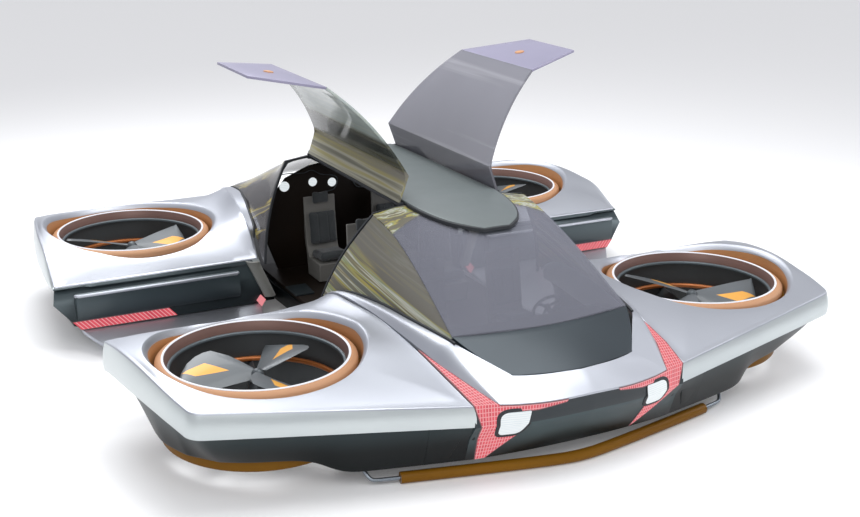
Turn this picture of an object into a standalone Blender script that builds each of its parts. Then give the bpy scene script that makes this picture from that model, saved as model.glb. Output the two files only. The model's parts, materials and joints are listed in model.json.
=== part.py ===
# Four-fan hover car on skids, with gull-wing doors standing open.
# Metres, +Z up, the nose towards -Y, the car's left towards +X.
# Every piece hangs from an empty in the plane of the fan rings, midway between the front fans.
import bpy
import bmesh
import math
from mathutils import Vector, Matrix

for old in list(bpy.data.objects):
    bpy.data.objects.remove(old, do_unlink=True)

# Driving dimensions
RING_HEIGHT = 1.05          # fan ring plane above the ground
FRONT_FAN_Y = -2.2261       # front fan axes from the middle of the car's length
FRONT_FAN_X = 2.909
REAR_FAN_X = 2.933
REAR_FAN_Y = 5.161          # rear fan axes behind the front ones
GAP = 0.0003                # between touching solids
CLEAR = 0.006               # between a moving piece and a fixed one

BOWL_RADIUS = 1.20          # silver rim of the bowl round each fan
RECESS = 0.070              # the bowl's wall falls this far inside its rim
RECESS_SHARE = 0.25         # of the way from the bore out to the rim
BOWL_FOOT = -0.140
FLANGE_RADIUS = 1.118       # duct flange that rests on the hull, inside the pod
WALL_RADIUS = 1.090         # duct below that flange
BORE_RADIUS = 0.97
SLEEVE_RADIUS = 1.060       # of the duct where it shows below the hull
SLEEVE_TOP = -0.690
LIP_Z = 0.015               # lit lip of the duct, standing above the ring plane
DUCT_FOOT = -0.860
FACETS = 40                 # facets of each round duct
HULL_FOOT = -0.85           # beside the keel
HULL_FOOT_OUT = -0.72       # and round the front ducts
FOOT_STEP = (2.60, 2.76)    # the foot rises between these distances from the middle
FILLET = 0.020              # at the pods' upper edge
BAND_BULGE = 0.035          # the pods' side band stands out this much at mid height
BAND_OUT = 0.020            # and this much at its foot
SEAT_Z = -0.20              # flat joint between a pod's silver body and its hull
SKIRT = 0.06                # thickness of the band where it hangs over the hull

FLOOR_Z = -0.60
KEEL_Z = -0.93

HINGE_X = 0.663             # door hinge line
HINGE_Z = 1.105
DOOR_OPEN = 117.0           # degrees from shut to open
PANEL = 0.030               # door thickness
GLASS = 0.020
BARREL = 0.018

GROUND = -RING_HEIGHT
TUBE_RADIUS = 0.065
ROD_RADIUS = 0.024

PAINTS = {                  # slot: colour, metallic, roughness, alpha
    "silver": ((0.62, 0.63, 0.68), 0.85, 0.32, 1.0),
    "hull": ((0.10, 0.13, 0.15), 0.4, 0.35, 1.0),
    "orange": ((0.62, 0.32, 0.12), 0.3, 0.35, 1.0),
    "blade": ((0.16, 0.18, 0.19), 0.3, 0.4, 1.0),
    "stator": ((0.25, 0.27, 0.28), 0.3, 0.45, 1.0),
    "glass": ((0.42, 0.43, 0.50), 0.0, 0.05, 0.35),
    "door_panel": ((0.60, 0.56, 0.68), 0.4, 0.25, 1.0),
    "roof": ((0.30, 0.33, 0.34), 0.1, 0.55, 1.0),
    "slate": ((0.14, 0.17, 0.20), 0.3, 0.4, 1.0),
    "red_light": ((0.90, 0.22, 0.25), 0.0, 0.4, 1.0),
    "lamp": ((0.93, 0.96, 0.98), 0.0, 0.2, 1.0),
    "skid": ((0.40, 0.20, 0.03), 0.3, 0.35, 1.0),
    "steel": ((0.42, 0.45, 0.50), 0.8, 0.3, 1.0),
    "trim": ((0.03, 0.04, 0.05), 0.0, 0.6, 1.0),
    "brown": ((0.16, 0.09, 0.05), 0.0, 0.6, 1.0),
    "seat": ((0.12, 0.14, 0.15), 0.0, 0.7, 1.0),
}


def paint(slot):
    material = bpy.data.materials.get(slot)
    if material is None:
        colour, metallic, rough, alpha = PAINTS[slot]
        material = bpy.data.materials.new(slot)
        material.use_nodes = True
        shader = material.node_tree.nodes["Principled BSDF"]
        shader.inputs["Base Color"].default_value = (*colour, 1.0)
        shader.inputs["Metallic"].default_value = metallic
        shader.inputs["Roughness"].default_value = rough
        shader.inputs["Alpha"].default_value = alpha
    return material


def empty(name, place, parent=None):
    axis = bpy.data.objects.new(name, None)
    axis.location = place
    axis.parent = parent
    bpy.context.collection.objects.link(axis)
    return axis


RINGS = empty("ring_plane", (0, FRONT_FAN_Y, RING_HEIGHT))


def place_mesh(name, mesh, slot, parent=RINGS, location=(0, 0, 0), turn=0.0):
    piece = bpy.data.objects.new(name, mesh)
    piece.parent = parent
    piece.location = location
    piece.rotation_euler = (0, 0, turn)
    bpy.context.collection.objects.link(piece)
    if not mesh.materials:
        mesh.materials.append(paint(slot))
    return piece


def make_mesh(name, points, faces):
    mesh = bpy.data.meshes.new(name)
    mesh.from_pydata([tuple(p) for p in points], [], faces)
    solid = bmesh.new()
    solid.from_mesh(mesh)
    bmesh.ops.recalc_face_normals(solid, faces=solid.faces)
    solid.to_mesh(mesh)
    solid.free()
    return mesh


def solid(name, points, faces, slot, parent=RINGS, location=(0, 0, 0)):
    return place_mesh(name, make_mesh(name, points, faces), slot, parent, location)


def mirrored(points):
    return [(-p[0], p[1], p[2]) for p in points]


def both_sides(name, points, faces, slot):
    solid(name + "_left", points, faces, slot)
    solid(name + "_right", mirrored(points), faces, slot)


def strip_faces(count, rings, wrap_rings):
    faces = []
    last = rings if wrap_rings else rings - 1
    for k in range(last):
        a, b = k * count, (k + 1) % rings * count
        for i in range(count):
            j = (i + 1) % count
            faces.append((a + i, a + j, b + j, b + i))
    return faces


def looped(rings):
    """Closed rings joined one to the next and the last to the first, like a tyre."""
    points = [p for ring in rings for p in ring]
    return points, strip_faces(len(rings[0]), len(rings), True)


def capped(rings):
    """Closed rings joined one to the next, with a flat face on each end."""
    count = len(rings[0])
    points = [p for ring in rings for p in ring]
    faces = strip_faces(count, len(rings), False)
    faces.append(tuple(range(count)))
    faces.append(tuple(len(points) - count + i for i in range(count)))
    return points, faces


def between(outer, inner):
    """The closed solid between two equal grids."""
    high, wide = len(outer), len(outer[0])
    size = high * wide
    faces = []
    for r in range(high - 1):
        for c in range(wide - 1):
            a = r * wide + c
            quad = (a, a + 1, a + 1 + wide, a + wide)
            faces.append(quad)
            faces.append(tuple(size + i for i in reversed(quad)))
    rim = [c for c in range(wide)]
    rim += [r * wide + wide - 1 for r in range(1, high)]
    rim += [(high - 1) * wide + c for c in range(wide - 2, -1, -1)]
    rim += [r * wide for r in range(high - 2, 0, -1)]
    for k, a in enumerate(rim):
        b = rim[(k + 1) % len(rim)]
        faces.append((b, a, size + a, size + b))
    return [tuple(p) for grid in (outer, inner) for row in grid for p in row], faces


def plate(rows, depth):
    """A sheet of equal rows of points, its inner side moved straight by depth.
    Seen from outside, a row runs to the right and the next row lies above it."""
    inner = [[tuple(p[a] + depth[a] for a in range(3)) for p in row] for row in rows]
    return between(rows, inner)


def parted(grid, row, below):
    """The rows below or above one row of a grid, drawn back from it by half a gap."""
    part = grid[:row + 1] if below else grid[row:][::-1]
    seam = [along(p, q, GAP) for p, q in zip(part[-1], part[-2])]
    part = part[:-1] + [seam]
    return part if below else part[::-1]


def box(low, high):
    (x0, y0, z0), (x1, y1, z1) = low, high
    ring = [(x0, y0), (x1, y0), (x1, y1), (x0, y1)]
    return capped([[(x, y, z) for x, y in ring] for z in (z0, z1)])


def prism(outline, z0, z1):
    return capped([[(x, y, z) for x, y in outline] for z in (z0, z1)])


def turned(profile, facets, offset=0.0):
    """A closed (radius, height) profile turned about the Z axis."""
    points, faces, rows = [], [], []
    for radius, height in profile:
        if radius == 0.0:
            rows.append([len(points)] * facets)
            points.append((0, 0, height))
            continue
        rows.append([len(points) + i for i in range(facets)])
        for i in range(facets):
            angle = 2 * math.pi * (i + offset) / facets
            points.append((radius * math.cos(angle), radius * math.sin(angle), height))
    for k, row in enumerate(rows):
        after = rows[(k + 1) % len(rows)]
        for i in range(facets):
            j = (i + 1) % facets
            face = []
            for v in (row[i], row[j], after[j], after[i]):
                if v not in face:
                    face.append(v)
            if len(face) > 2:
                faces.append(tuple(face))
    return points, faces


def swept(route, radius, sides=12):
    """A round bar along a route, with flat ends."""
    rings = []
    path = [Vector(p) for p in route]
    side = None
    for k, p in enumerate(path):
        ahead = path[min(k + 1, len(path) - 1)] - path[max(k - 1, 0)]
        ahead.normalize()
        if side is None:
            side = Vector((0, 0, 1)) if abs(ahead.z) < 0.9 else Vector((1, 0, 0))
        side = (side - ahead * side.dot(ahead)).normalized()
        other = ahead.cross(side)
        ring = []
        for i in range(sides):
            angle = 2 * math.pi * i / sides
            ring.append(tuple(p + side * radius * math.cos(angle) + other * radius * math.sin(angle)))
        rings.append(ring)
    return capped(rings)


def curve(table, t):
    """Smooth value at t through a table of (t, value) rows; values may be tuples."""
    many = isinstance(table[0][1], tuple)
    rows = [(a, b if many else (b,)) for a, b in table]
    if t <= rows[0][0]:
        k, t = 0, rows[0][0]
    elif t >= rows[-1][0]:
        k, t = len(rows) - 2, rows[-1][0]
    else:
        k = max(i for i in range(len(rows) - 1) if rows[i][0] <= t)

    def slope(i, axis):
        a, b = rows[max(i - 1, 0)], rows[min(i + 1, len(rows) - 1)]
        return (b[1][axis] - a[1][axis]) / (b[0] - a[0])

    (t0, v0), (t1, v1) = rows[k], rows[k + 1]
    span = t1 - t0
    s = (t - t0) / span
    value = []
    for axis in range(len(v0)):
        value.append((2 * s ** 3 - 3 * s ** 2 + 1) * v0[axis] + (3 * s ** 2 - 2 * s ** 3) * v1[axis]
                     + (s ** 3 - 2 * s ** 2 + s) * span * slope(k, axis)
                     + (s ** 3 - s ** 2) * span * slope(k + 1, axis))
    return tuple(value) if many else value[0]


def rounded(corners, segments=5):
    """Outline through corners (x, y, z, corner radius), its corners turned to arcs."""
    path = []
    count = len(corners)
    for k, (x, y, z, radius) in enumerate(corners):
        here = Vector((x, y, z))
        if radius == 0:
            path.append(tuple(here))
            continue
        before = Vector(corners[k - 1][:3]) - here
        after = Vector(corners[(k + 1) % count][:3]) - here
        start = here + before.normalized() * min(radius, before.length * 0.49)
        end = here + after.normalized() * min(radius, after.length * 0.49)
        for i in range(segments + 1):
            s = i / segments
            path.append(tuple(start * (1 - s) ** 2 + here * 2 * s * (1 - s) + end * s ** 2))
    return path


def filled(path, step):
    """The closed path with extra points so that no side is longer than step."""
    dense = []
    for k, p in enumerate(path):
        q = path[(k + 1) % len(path)]
        parts = max(1, math.ceil(math.dist(p[:2], q[:2]) / step))
        for i in range(parts):
            dense.append(tuple(p[a] + (q[a] - p[a]) * i / parts for a in range(3)))
    return dense


def reach(centre, angle, outline):
    """Distance from the centre to an outline of (x, y, z), with the height there."""
    dx, dy = math.cos(angle), math.sin(angle)
    best = None
    for k, p in enumerate(outline):
        q = outline[(k + 1) % len(outline)]
        ex, ey = q[0] - p[0], q[1] - p[1]
        cross = dx * ey - dy * ex
        if abs(cross) < 1e-12:
            continue
        px, py = p[0] - centre[0], p[1] - centre[1]
        distance = (px * ey - py * ex) / cross
        s = (px * dy - py * dx) / cross
        if distance > 0 and -1e-9 <= s <= 1 + 1e-9:
            if best is None or distance > best[0]:
                best = (distance, p[2] + (q[2] - p[2]) * s)
    return best


# Pod outlines, left side, seen from above: x, y, height of the top edge, corner radius
FRONT_POD = [
    (1.300, -1.890, -0.160, 0),
    (2.513, -1.588, -0.079, 0),
    (2.706, -1.540, -0.066, 0),
    (4.012, -1.215, 0.022, 0.12),
    (4.108, -0.800, 0.072, 0.15),
    (4.230, 0.000, 0.141, 0.30),
    (4.285, 0.600, 0.105, 0.25),
    (4.300, 1.080, 0.008, 0.06),
    (4.120, 1.195, -0.028, 0.08),
    (2.350, 1.220, -0.035, 0.35),
    (1.640, 1.500, -0.080, 0.10),
    (1.600, 1.000, 0.190, 0.20),
    (1.470, 0.000, 0.200, 0.30),
    (1.400, -0.809, 0.085, 0.20),
]
FRONT_FOOT = [              # the dark hull's edge at its foot
    (1.300, -1.700, 0, 0),
    (1.960, -1.560, 0, 0),
    (2.600, -1.405, 0, 0),
    (2.760, -1.240, 0, 0),
    (2.920, -1.165, 0, 0),
    (3.302, -1.081, 0, 0),
    (3.648, -0.881, 0, 0),
    (3.905, -0.575, 0, 0),
    (4.042, -0.200, 0, 0),
    (4.042, 0.200, 0, 0),
    (3.905, 0.575, 0, 0),
    (3.648, 0.881, 0, 0),
    (2.900, 1.185, 0, 0.50),
    (1.300, 1.180, 0, 0),
]
# Height of the bowl's rim round each fan: degrees from the outer side towards the rear, height
FRONT_RIM = [
    (-180, 0.150), (-160, 0.130), (-147, 0.098), (-136, 0.061), (-125, 0.031), (-113, 0.011),
    (-100, 0.000), (-88, -0.005), (-75, 0.002), (-62, 0.017), (-53, 0.033), (-43, 0.061), (-25, 0.118),
    (-9, 0.150), (10, 0.155), (28, 0.130), (41, 0.100), (53, 0.057), (70, 0.000), (85, -0.018),
    (100, -0.014), (112, 0.008), (123, 0.034), (134, 0.072), (147, 0.100), (161, 0.120), (180, 0.150),
]
REAR_RIM = [
    (-180, 0.130), (-160, 0.120), (-148, 0.095), (-135, 0.056), (-126, 0.008), (-116, -0.024),
    (-108, -0.040), (-94, -0.053), (-81, -0.047), (-69, -0.017), (-56, 0.036), (-42, 0.075),
    (-27, 0.132), (-10, 0.170), (10, 0.185), (28, 0.164), (42, 0.124), (53, 0.092), (67, 0.063),
    (83, 0.057), (97, 0.059), (111, 0.073), (126, 0.084), (142, 0.104), (160, 0.120), (180, 0.130),
]
REAR_POD = [
    (1.560, 3.730, -0.190, 0),
    (4.318, 3.715, -0.196, 0.04),
    (4.308, 4.250, 0.084, 0.20),
    (4.245, 5.160, 0.175, 0.40),
    (4.114, 6.000, 0.101, 0.25),
    (4.020, 6.450, 0.000, 0.12),
    (3.500, 6.520, -0.010, 0.15),
    (1.200, 6.540, 0.000, 0.10),
    (1.230, 6.100, 0.220, 0.20),
    (1.400, 5.100, 0.330, 0.30),
    (1.530, 4.200, 0.230, 0.30),
]
REAR_FOOT = [
    (1.300, 3.780, 0, 0),
    (4.060, 3.780, 0, 0.05),
    (4.090, 5.000, 0, 0.50),
    (3.900, 5.950, 0, 0.50),
    (3.100, 6.320, 0, 0.50),
    (1.300, 6.320, 0, 0),
]
# Side of the dark hull below its band: share of the depth, share of the inset
FRONT_STEPS = [(0.0, 0.0), (0.14, 0.16), (0.45, 0.42), (0.75, 0.72), (1.0, 1.0)]
REAR_STEPS = [(0.0, 0.0), (0.14, 0.30), (0.42, 0.60), (0.75, 0.86), (1.0, 1.0)]


def spokes(centre, outline, bore):
    """Angles to the outline's points; the bore takes the widest step between them."""
    angles = [math.atan2(y - centre[1], x - centre[0]) for x, y, z in outline]
    widest = 0.0
    for k, a in enumerate(angles):
        step = abs((angles[(k + 1) % len(angles)] - a + math.pi) % (2 * math.pi) - math.pi)
        widest = max(widest, step)
    return angles, bore / math.cos(widest / 2) + GAP


def ring_round(centre, angles, radius, height):
    ring = []
    for k, angle in enumerate(angles):
        r = radius[k] if isinstance(radius, list) else radius
        z = height[k] if isinstance(height, list) else height
        ring.append((centre[0] + r * math.cos(angle), centre[1] + r * math.sin(angle), z))
    return ring


def pod(name, centre, corners, rim_heights, band_low):
    """Silver upper body of one pod: a slab with a bowl and a bore for its fan."""
    outline = filled(rounded(corners, 4), 0.42)
    angles, bore = spokes(centre, outline, FLANGE_RADIUS)
    edge = [math.dist(p[:2], centre) for p in outline]
    top = [p[2] for p in outline]
    low = [min(band_low(p[0], p[1]), SEAT_Z - 0.02) for p in outline]
    rim = [min(BOWL_RADIUS, r - 0.055) for r in edge]
    rim_z = [curve(rim_heights, math.degrees(a)) for a in angles]
    recess = [bore + (r - bore) * RECESS_SHARE for r in rim]
    rings = [
        ring_round(centre, angles, bore, BOWL_FOOT),
        ring_round(centre, angles, recess, [z - RECESS for z in rim_z]),
        ring_round(centre, angles, rim, rim_z),
    ]
    for t in (0.35, 0.7, 1.0):
        radii = [a + (r - FILLET - a) * t for a, r in zip(rim, edge)]
        heights = [a + (z - a) * t ** 1.5 for a, z in zip(rim_z, top)]
        rings.append(ring_round(centre, angles, radii, heights))
    rings.append(ring_round(centre, angles, edge, [z - FILLET * 0.8 for z in top]))
    middle = [z * 0.55 + h * 0.45 for z, h in zip(top, low)]
    rings.append(ring_round(centre, angles, [r + BAND_BULGE for r in edge], middle))
    rings.append(ring_round(centre, angles, [r + BAND_OUT for r in edge], low))
    rings.append(ring_round(centre, angles, [r + BAND_OUT - SKIRT for r in edge], low))
    rings.append(ring_round(centre, angles, [r + BAND_OUT - SKIRT for r in edge], SEAT_Z))
    rings.append(ring_round(centre, angles, bore, SEAT_Z))
    points, faces = looped(rings)
    both_sides(name, points, faces, "silver")
    return outline, angles, edge, low


def front_hull_foot(x):
    share = (x - FOOT_STEP[0]) / (FOOT_STEP[1] - FOOT_STEP[0])
    return HULL_FOOT + (HULL_FOOT_OUT - HULL_FOOT) * min(1.0, max(0.0, share))


def rear_hull_foot(x):
    return HULL_FOOT


def pod_hull(name, centre, pod_shape, foot_corners, steps, foot_z):
    """Dark hull below one pod, from its band down to the foot, round the duct."""
    outline, angles, edge, low = pod_shape
    foot = rounded(foot_corners)
    bore = spokes(centre, outline, WALL_RADIUS)[1]
    foot_edge = [max(reach(centre, a, foot)[0], bore + 0.02) for a in angles]
    top_edge = [r + BAND_OUT - SKIRT - 0.005 for r in edge]
    rings = [ring_round(centre, angles, top_edge, SEAT_Z - GAP)]
    foot_low = [foot_z(x) for x, y, z in ring_round(centre, angles, foot_edge, 0.0)]
    bore_low = [foot_z(x) for x, y, z in ring_round(centre, angles, bore, 0.0)]
    for depth, inset in steps:
        radii = [r + (f - r) * inset for r, f in zip(top_edge, foot_edge)]
        heights = [z + (end - z) * depth for z, end in zip(low, foot_low)]
        rings.append(ring_round(centre, angles, radii, heights))
    rings.append(ring_round(centre, angles, bore, bore_low))
    rings.append(ring_round(centre, angles, bore, SEAT_Z - GAP))
    points, faces = looped(rings)
    both_sides(name, points, faces, "hull")


# Foot of the front pods' side band: y, height
FRONT_LOW = [(-1.10, -0.250), (-0.80, -0.225), (0.00, -0.225), (0.80, -0.283), (1.10, -0.350)]


def front_band(x, y):
    """Height of the band's foot: along the front edge it falls towards the nose."""
    if y < -1.10:
        return -0.388 + (min(x, 4.0) - 1.3) / 2.7 * 0.138
    return curve(FRONT_LOW, y) if x > 3.9 else -0.26


def rear_band(x, y):
    return -0.22 if y < 3.80 else -0.26


# Fans
BLADE_COUNT = 3
HUB_FACETS = 18
SHAFT_RADIUS = 0.035
SHAFT_TOP = -0.215
ROTOR_FOOT = -0.30
RUNNING = 0.0005            # between the rotor and what it turns on
ROTOR_TOP = -0.17
ROTOR_HUB = 0.075
HUB_RADIUS = 0.15
VANE_COUNT = 5
FAN_AXES = [                # name, x, y, turn of the rotor in degrees, sense
    ("front_left", FRONT_FAN_X, 0.0, 104.0, 1),
    ("front_right", -FRONT_FAN_X, 0.0, 50.0, -1),
    ("rear_left", REAR_FAN_X, REAR_FAN_Y, 40.0, -1),
    ("rear_right", -REAR_FAN_X, REAR_FAN_Y, 17.0, 1),
]


def duct_mesh():
    profile = [
        (BORE_RADIUS, DUCT_FOOT), (BORE_RADIUS, -0.10), (0.985, LIP_Z), (1.018, LIP_Z),
        (1.086, -0.034), (1.090, BOWL_FOOT + 0.006), (FLANGE_RADIUS, BOWL_FOOT),
        (FLANGE_RADIUS, SEAT_Z), (WALL_RADIUS, SEAT_Z), (WALL_RADIUS, SLEEVE_TOP),
        (SLEEVE_RADIUS, SLEEVE_TOP - 0.02), (SLEEVE_RADIUS, DUCT_FOOT),
    ]
    return make_mesh("duct", *turned(profile, FACETS))


def joined(name, base, extras):
    """One closed mesh from a base mesh and others that overlap it."""
    body = place_mesh(name + "_base", base, "stator", None)
    helpers = []
    for k, extra in enumerate(extras):
        helper = place_mesh(f"{name}_extra_{k}", extra, "stator", None)
        helpers.append(helper)
        union = body.modifiers.new(f"join_{k}", "BOOLEAN")
        union.operation = "UNION"
        union.solver = "EXACT"
        union.object = helper
    view = bpy.context.evaluated_depsgraph_get()
    result = bpy.data.meshes.new_from_object(body.evaluated_get(view))
    result.name = name
    result.materials.clear()
    for item in helpers + [body]:
        bpy.data.objects.remove(item, do_unlink=True)
    return result


def vane(angle):
    """One stator vane, from inside the hub to the duct wall, flat against its facet."""
    reach_out = BORE_RADIUS * math.cos(math.pi / FACETS) - GAP
    half, lean = 0.012, 0.03
    section = [(-half - lean, -0.66), (half - lean, -0.66), (half + lean, -0.46), (-half + lean, -0.46)]
    rings = []
    for r in (0.08, reach_out):
        rings.append([(r, s, z) for s, z in section])
    points, faces = capped(rings)
    turn = Matrix.Rotation(angle, 3, "Z")
    return make_mesh("vane", [turn @ Vector(p) for p in points], faces)


def stator_mesh():
    profile = [
        (0.0, -0.82), (0.06, -0.81), (0.12, -0.74), (HUB_RADIUS, -0.62), (HUB_RADIUS, -0.44), (0.12, -0.38),
        (ROTOR_HUB, ROTOR_FOOT - RUNNING), (SHAFT_RADIUS, ROTOR_FOOT - RUNNING), (SHAFT_RADIUS, SHAFT_TOP),
        (0.0, SHAFT_TOP),
    ]
    hub = make_mesh("stator_hub", *turned(profile, HUB_FACETS))
    facet = 2 * math.pi / FACETS
    vanes = [vane((FACETS // VANE_COUNT * k + 0.5) * facet) for k in range(VANE_COUNT)]
    return joined("stator", hub, vanes)


# Blade stations: radius, leading edge, trailing edge, pitch in degrees
BLADE = [(0.040, 0.055, -0.055, 30), (0.220, 0.160, -0.120, 27), (0.450, 0.310, -0.230, 24),
         (0.680, 0.380, -0.320, 21), (0.860, 0.330, -0.320, 19), (0.930, 0.120, -0.140, 18)]
BLADE_Z = -0.235
BLADE_THICK = 0.010
BLADE_RISE = 0.85           # share of the pitch that shows as height


def blade(angle, sense):
    rings = []
    for r, lead, trail, pitch in BLADE:
        tilt = math.radians(pitch)
        ring = []
        for s, t in ((lead, 0.0), (lead * 0.3, BLADE_THICK), (trail, 0.0), (lead * 0.3, -BLADE_THICK)):
            ring.append((r, s * math.cos(tilt), BLADE_Z + s * math.sin(tilt) * BLADE_RISE * sense + t))
        rings.append(ring)
    points, faces = capped(rings)
    turn = Matrix.Rotation(angle, 3, "Z")
    return make_mesh("blade", [turn @ Vector(p) for p in points], faces)


def rotor_mesh(sense):
    bore = SHAFT_RADIUS + 0.002
    roof = SHAFT_TOP + 0.004
    profile = [
        (0.0, roof), (bore, roof), (bore, ROTOR_FOOT), (ROTOR_HUB, ROTOR_FOOT),
        (ROTOR_HUB, ROTOR_TOP - 0.02), (0.05, ROTOR_TOP), (0.0, ROTOR_TOP + 0.01),
    ]
    hub = make_mesh("rotor_hub", *turned(profile, HUB_FACETS))
    blades = [blade(2 * math.pi * k / BLADE_COUNT, sense) for k in range(BLADE_COUNT)]
    return joined("rotor", hub, blades)


def fans():
    duct, stator = duct_mesh(), stator_mesh()
    rotors = {1: rotor_mesh(1), -1: rotor_mesh(-1)}
    for name, x, y, turn, sense in FAN_AXES:
        axis = empty("axis_" + name, (x, y, 0), RINGS)
        place_mesh("duct_" + name, duct, "orange", axis)
        place_mesh("stator_" + name, stator, "stator", axis)
        place_mesh("rotor_" + name, rotors[sense], "blade", axis, turn=math.radians(turn))


# Cabin shape, all in the shut position: the doors' outline and the glass round it
# Shut door stations from the hinge down: x, z, front y, rear y
DOOR_A = [(0.663, 1.105, 1.114, 3.974), (1.020, 1.058, 1.114, 3.974)]
DOOR_B_SAG = 0.085
DOOR_B_END = (1.578, -0.181, 1.554, 3.401)
DOOR_C_END = (1.320, -1.000, 1.897, 3.005)
B_PARTS = 6


def door_b():
    """Stations of the bulging middle panel, from the roof bend to the lower bend."""
    (x0, z0, f0, r0), (x1, z1, f1, r1) = DOOR_A[1], DOOR_B_END
    length = math.hypot(x1 - x0, z1 - z0)
    nx, nz = (z0 - z1) / length, (x1 - x0) / length
    stations = []
    for k in range(B_PARTS + 1):
        t = k / B_PARTS
        sag = 4 * DOOR_B_SAG * t * (1 - t)
        stations.append((x0 + (x1 - x0) * t + nx * sag, z0 + (z1 - z0) * t + nz * sag,
                         f0 + (f1 - f0) * t, r0 + (r1 - r0) * t))
    return stations


def door_lining(stations):
    """The same stations moved inward by the door's thickness, mitred at each bend."""
    normals = []
    for a, b in zip(stations, stations[1:]):
        length = math.hypot(b[0] - a[0], b[1] - a[1])
        normals.append(Vector((b[1] - a[1], a[0] - b[0])) / length)
    lining = []
    for k, (x, z, front, rear) in enumerate(stations):
        before, after = normals[max(k - 1, 0)], normals[min(k, len(normals) - 1)]
        miter = (before + after) / (1 + before.dot(after)) * PANEL
        lining.append((x + miter.x, z + miter.y, front, rear))
    return lining


def door_rows(stations, columns=4):
    """Rows of points for plate(), lowest first, each from front to rear."""
    rows = []
    for x, z, front, rear in reversed(stations):
        rows.append([(x, front + (rear - front) * c / columns, z) for c in range(columns + 1)])
    return rows


def opened(points):
    """Points of the left door swung from shut to open about its hinge line."""
    angle = math.radians(DOOR_OPEN)
    turned_points = []
    for x, y, z in points:
        dx, dz = x - HINGE_X, z - HINGE_Z
        turned_points.append((HINGE_X + dx * math.cos(angle) - dz * math.sin(angle), y,
                              HINGE_Z + dx * math.sin(angle) + dz * math.cos(angle)))
    return turned_points


def along(a, b, distance):
    t = distance / math.dist(a, b)
    return tuple(p + (q - p) * t for p, q in zip(a, b))


def doors():
    hinge = (HINGE_X, DOOR_A[0][2], HINGE_Z)
    start = along(hinge, (DOOR_A[1][0], DOOR_A[1][2], DOOR_A[1][1]), BARREL + GAP)
    stations = [(start[0], start[2], DOOR_A[0][2] + CLEAR, DOOR_A[0][3] - CLEAR)] + door_b() + [DOOR_C_END]
    outer, inner = door_rows(stations), door_rows(door_lining(stations))
    points, faces = between(parted(outer, 1, False), parted(inner, 1, False))
    both_sides("door_glass", opened(points), faces, "glass")
    points, faces = between(parted(outer, 1, True), parted(inner, 1, True))
    both_sides("door_lower", opened(points), faces, "door_panel")
    rod = swept([(HINGE_X, 1.1145, HINGE_Z), (HINGE_X, 3.9735, HINGE_Z)], BARREL)
    both_sides("door_hinge", *rod, "trim")


# Lower body
KEEL = [                    # y, half width at the foot, foot z, half width at the floor
    (-1.6733, 1.20, -0.85, 1.2400),
    (-1.200, 1.20, KEEL_Z, 1.2997),
    (1.150, 1.20, KEEL_Z, 1.2997),
    (1.450, 1.20, KEEL_Z, 1.2600),
    (3.480, 1.20, KEEL_Z, 1.2600),
    (3.790, 1.20, KEEL_Z, 1.2997),
    (5.000, 1.15, -0.90, 1.2997),
    (5.400, 1.12, -0.89, 1.2650),
    (6.300, 1.10, -0.87, 1.2250),
]
KEEL_BEVEL = 0.060
SILL = 0.055
LIP = 0.020                 # thickness of the bonnet's edge over the nose


def keel():
    """Dark bottom of the hull between the pods, its upper face level below the cabin floor."""
    rings = []
    for y, foot, z, top in KEEL:
        half = [(0, z), (foot, z), (top, z + KEEL_BEVEL), (top, FLOOR_Z - SILL)]
        rings.append([(x, y, h) for x, h in half] + [(-x, y, h) for x, h in reversed(half)][:-1])
    solid("hull_keel", *capped([r[1:] for r in rings]), "hull")


def cabin_floor():
    solid("cabin_floor", *box((-1.24, -1.10, FLOOR_Z - SILL + GAP), (1.24, 4.60, FLOOR_Z)), "brown")


# Nose: rows from the lip down; each row is (x, y, z) from the middle outwards
LAMP = [(0.715, -0.258), (0.945, -0.262), (0.985, -0.300), (0.985, -0.400), (0.975, -0.535),
        (0.785, -0.546), (0.740, -0.402)]    # outline of the left headlamp: x, z
LAMP_PROUD = 0.010
LAMP_DEPTH = 0.070
NOSE_ROWS = [
    [(0, -2.108, -0.1876), (0.45, -2.090, -0.1956), (0.80, -2.020, -0.1936), (1.028, -1.947, -0.1856)],
    [(0, -2.075, -0.385), (0.45, -2.060, -0.390), (0.78, -2.020, -0.400), (1.010, -1.965, -0.395)],
    [(0, -1.960, -0.590), (0.45, -1.945, -0.590), (0.80, -1.890, -0.585), (1.100, -1.840, -0.570)],
    [(0, -1.800, -0.846), (0.45, -1.790, -0.846), (0.90, -1.760, -0.846), (1.230, -1.720, -0.846)],
]
# Bonnet rows from the lip back to the cowl
BONNET_ROWS = [
    [(0, -2.110, -0.168), (0.45, -2.092, -0.176), (0.80, -2.022, -0.174), (1.028, -1.949, -0.166)],
    [(0, -1.980, -0.085), (0.36, -1.955, -0.095), (0.72, -1.860, -0.095), (1.000, -1.800, -0.075)],
    [(0, -1.852, -0.007), (0.38, -1.808, -0.007), (0.751, -1.705, -0.004), (0.900, -1.640, 0.020)],
]
COWL_ROWS = [
    [(0, -1.849, -0.006), (0.38, -1.805, -0.006), (0.751, -1.702, -0.003), (0.885, -1.500, 0.076)],
    [(0, -1.540, 0.140), (0.38, -1.500, 0.138), (0.80, -1.395, 0.132), (1.010, -1.300, 0.155)],
    [(0, -1.222, 0.262), (0.38, -1.202, 0.262), (0.78, -1.142, 0.258), (1.108, -1.066, 0.256)],
]


def across(rows):
    """Rows given from the middle outwards, made whole from the right side to the left."""
    return [[(-x, y, z) for x, y, z in reversed(row)][:-1] + row for row in rows]


def row_at(row, x):
    """Point of a row of (x, y, z) at this x, on the straight line between its neighbours."""
    k = max(i for i in range(len(row) - 1) if row[i][0] <= x)
    return Vector(row[k]).lerp(row[k + 1], (x - row[k][0]) / (row[k + 1][0] - row[k][0]))


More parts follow.
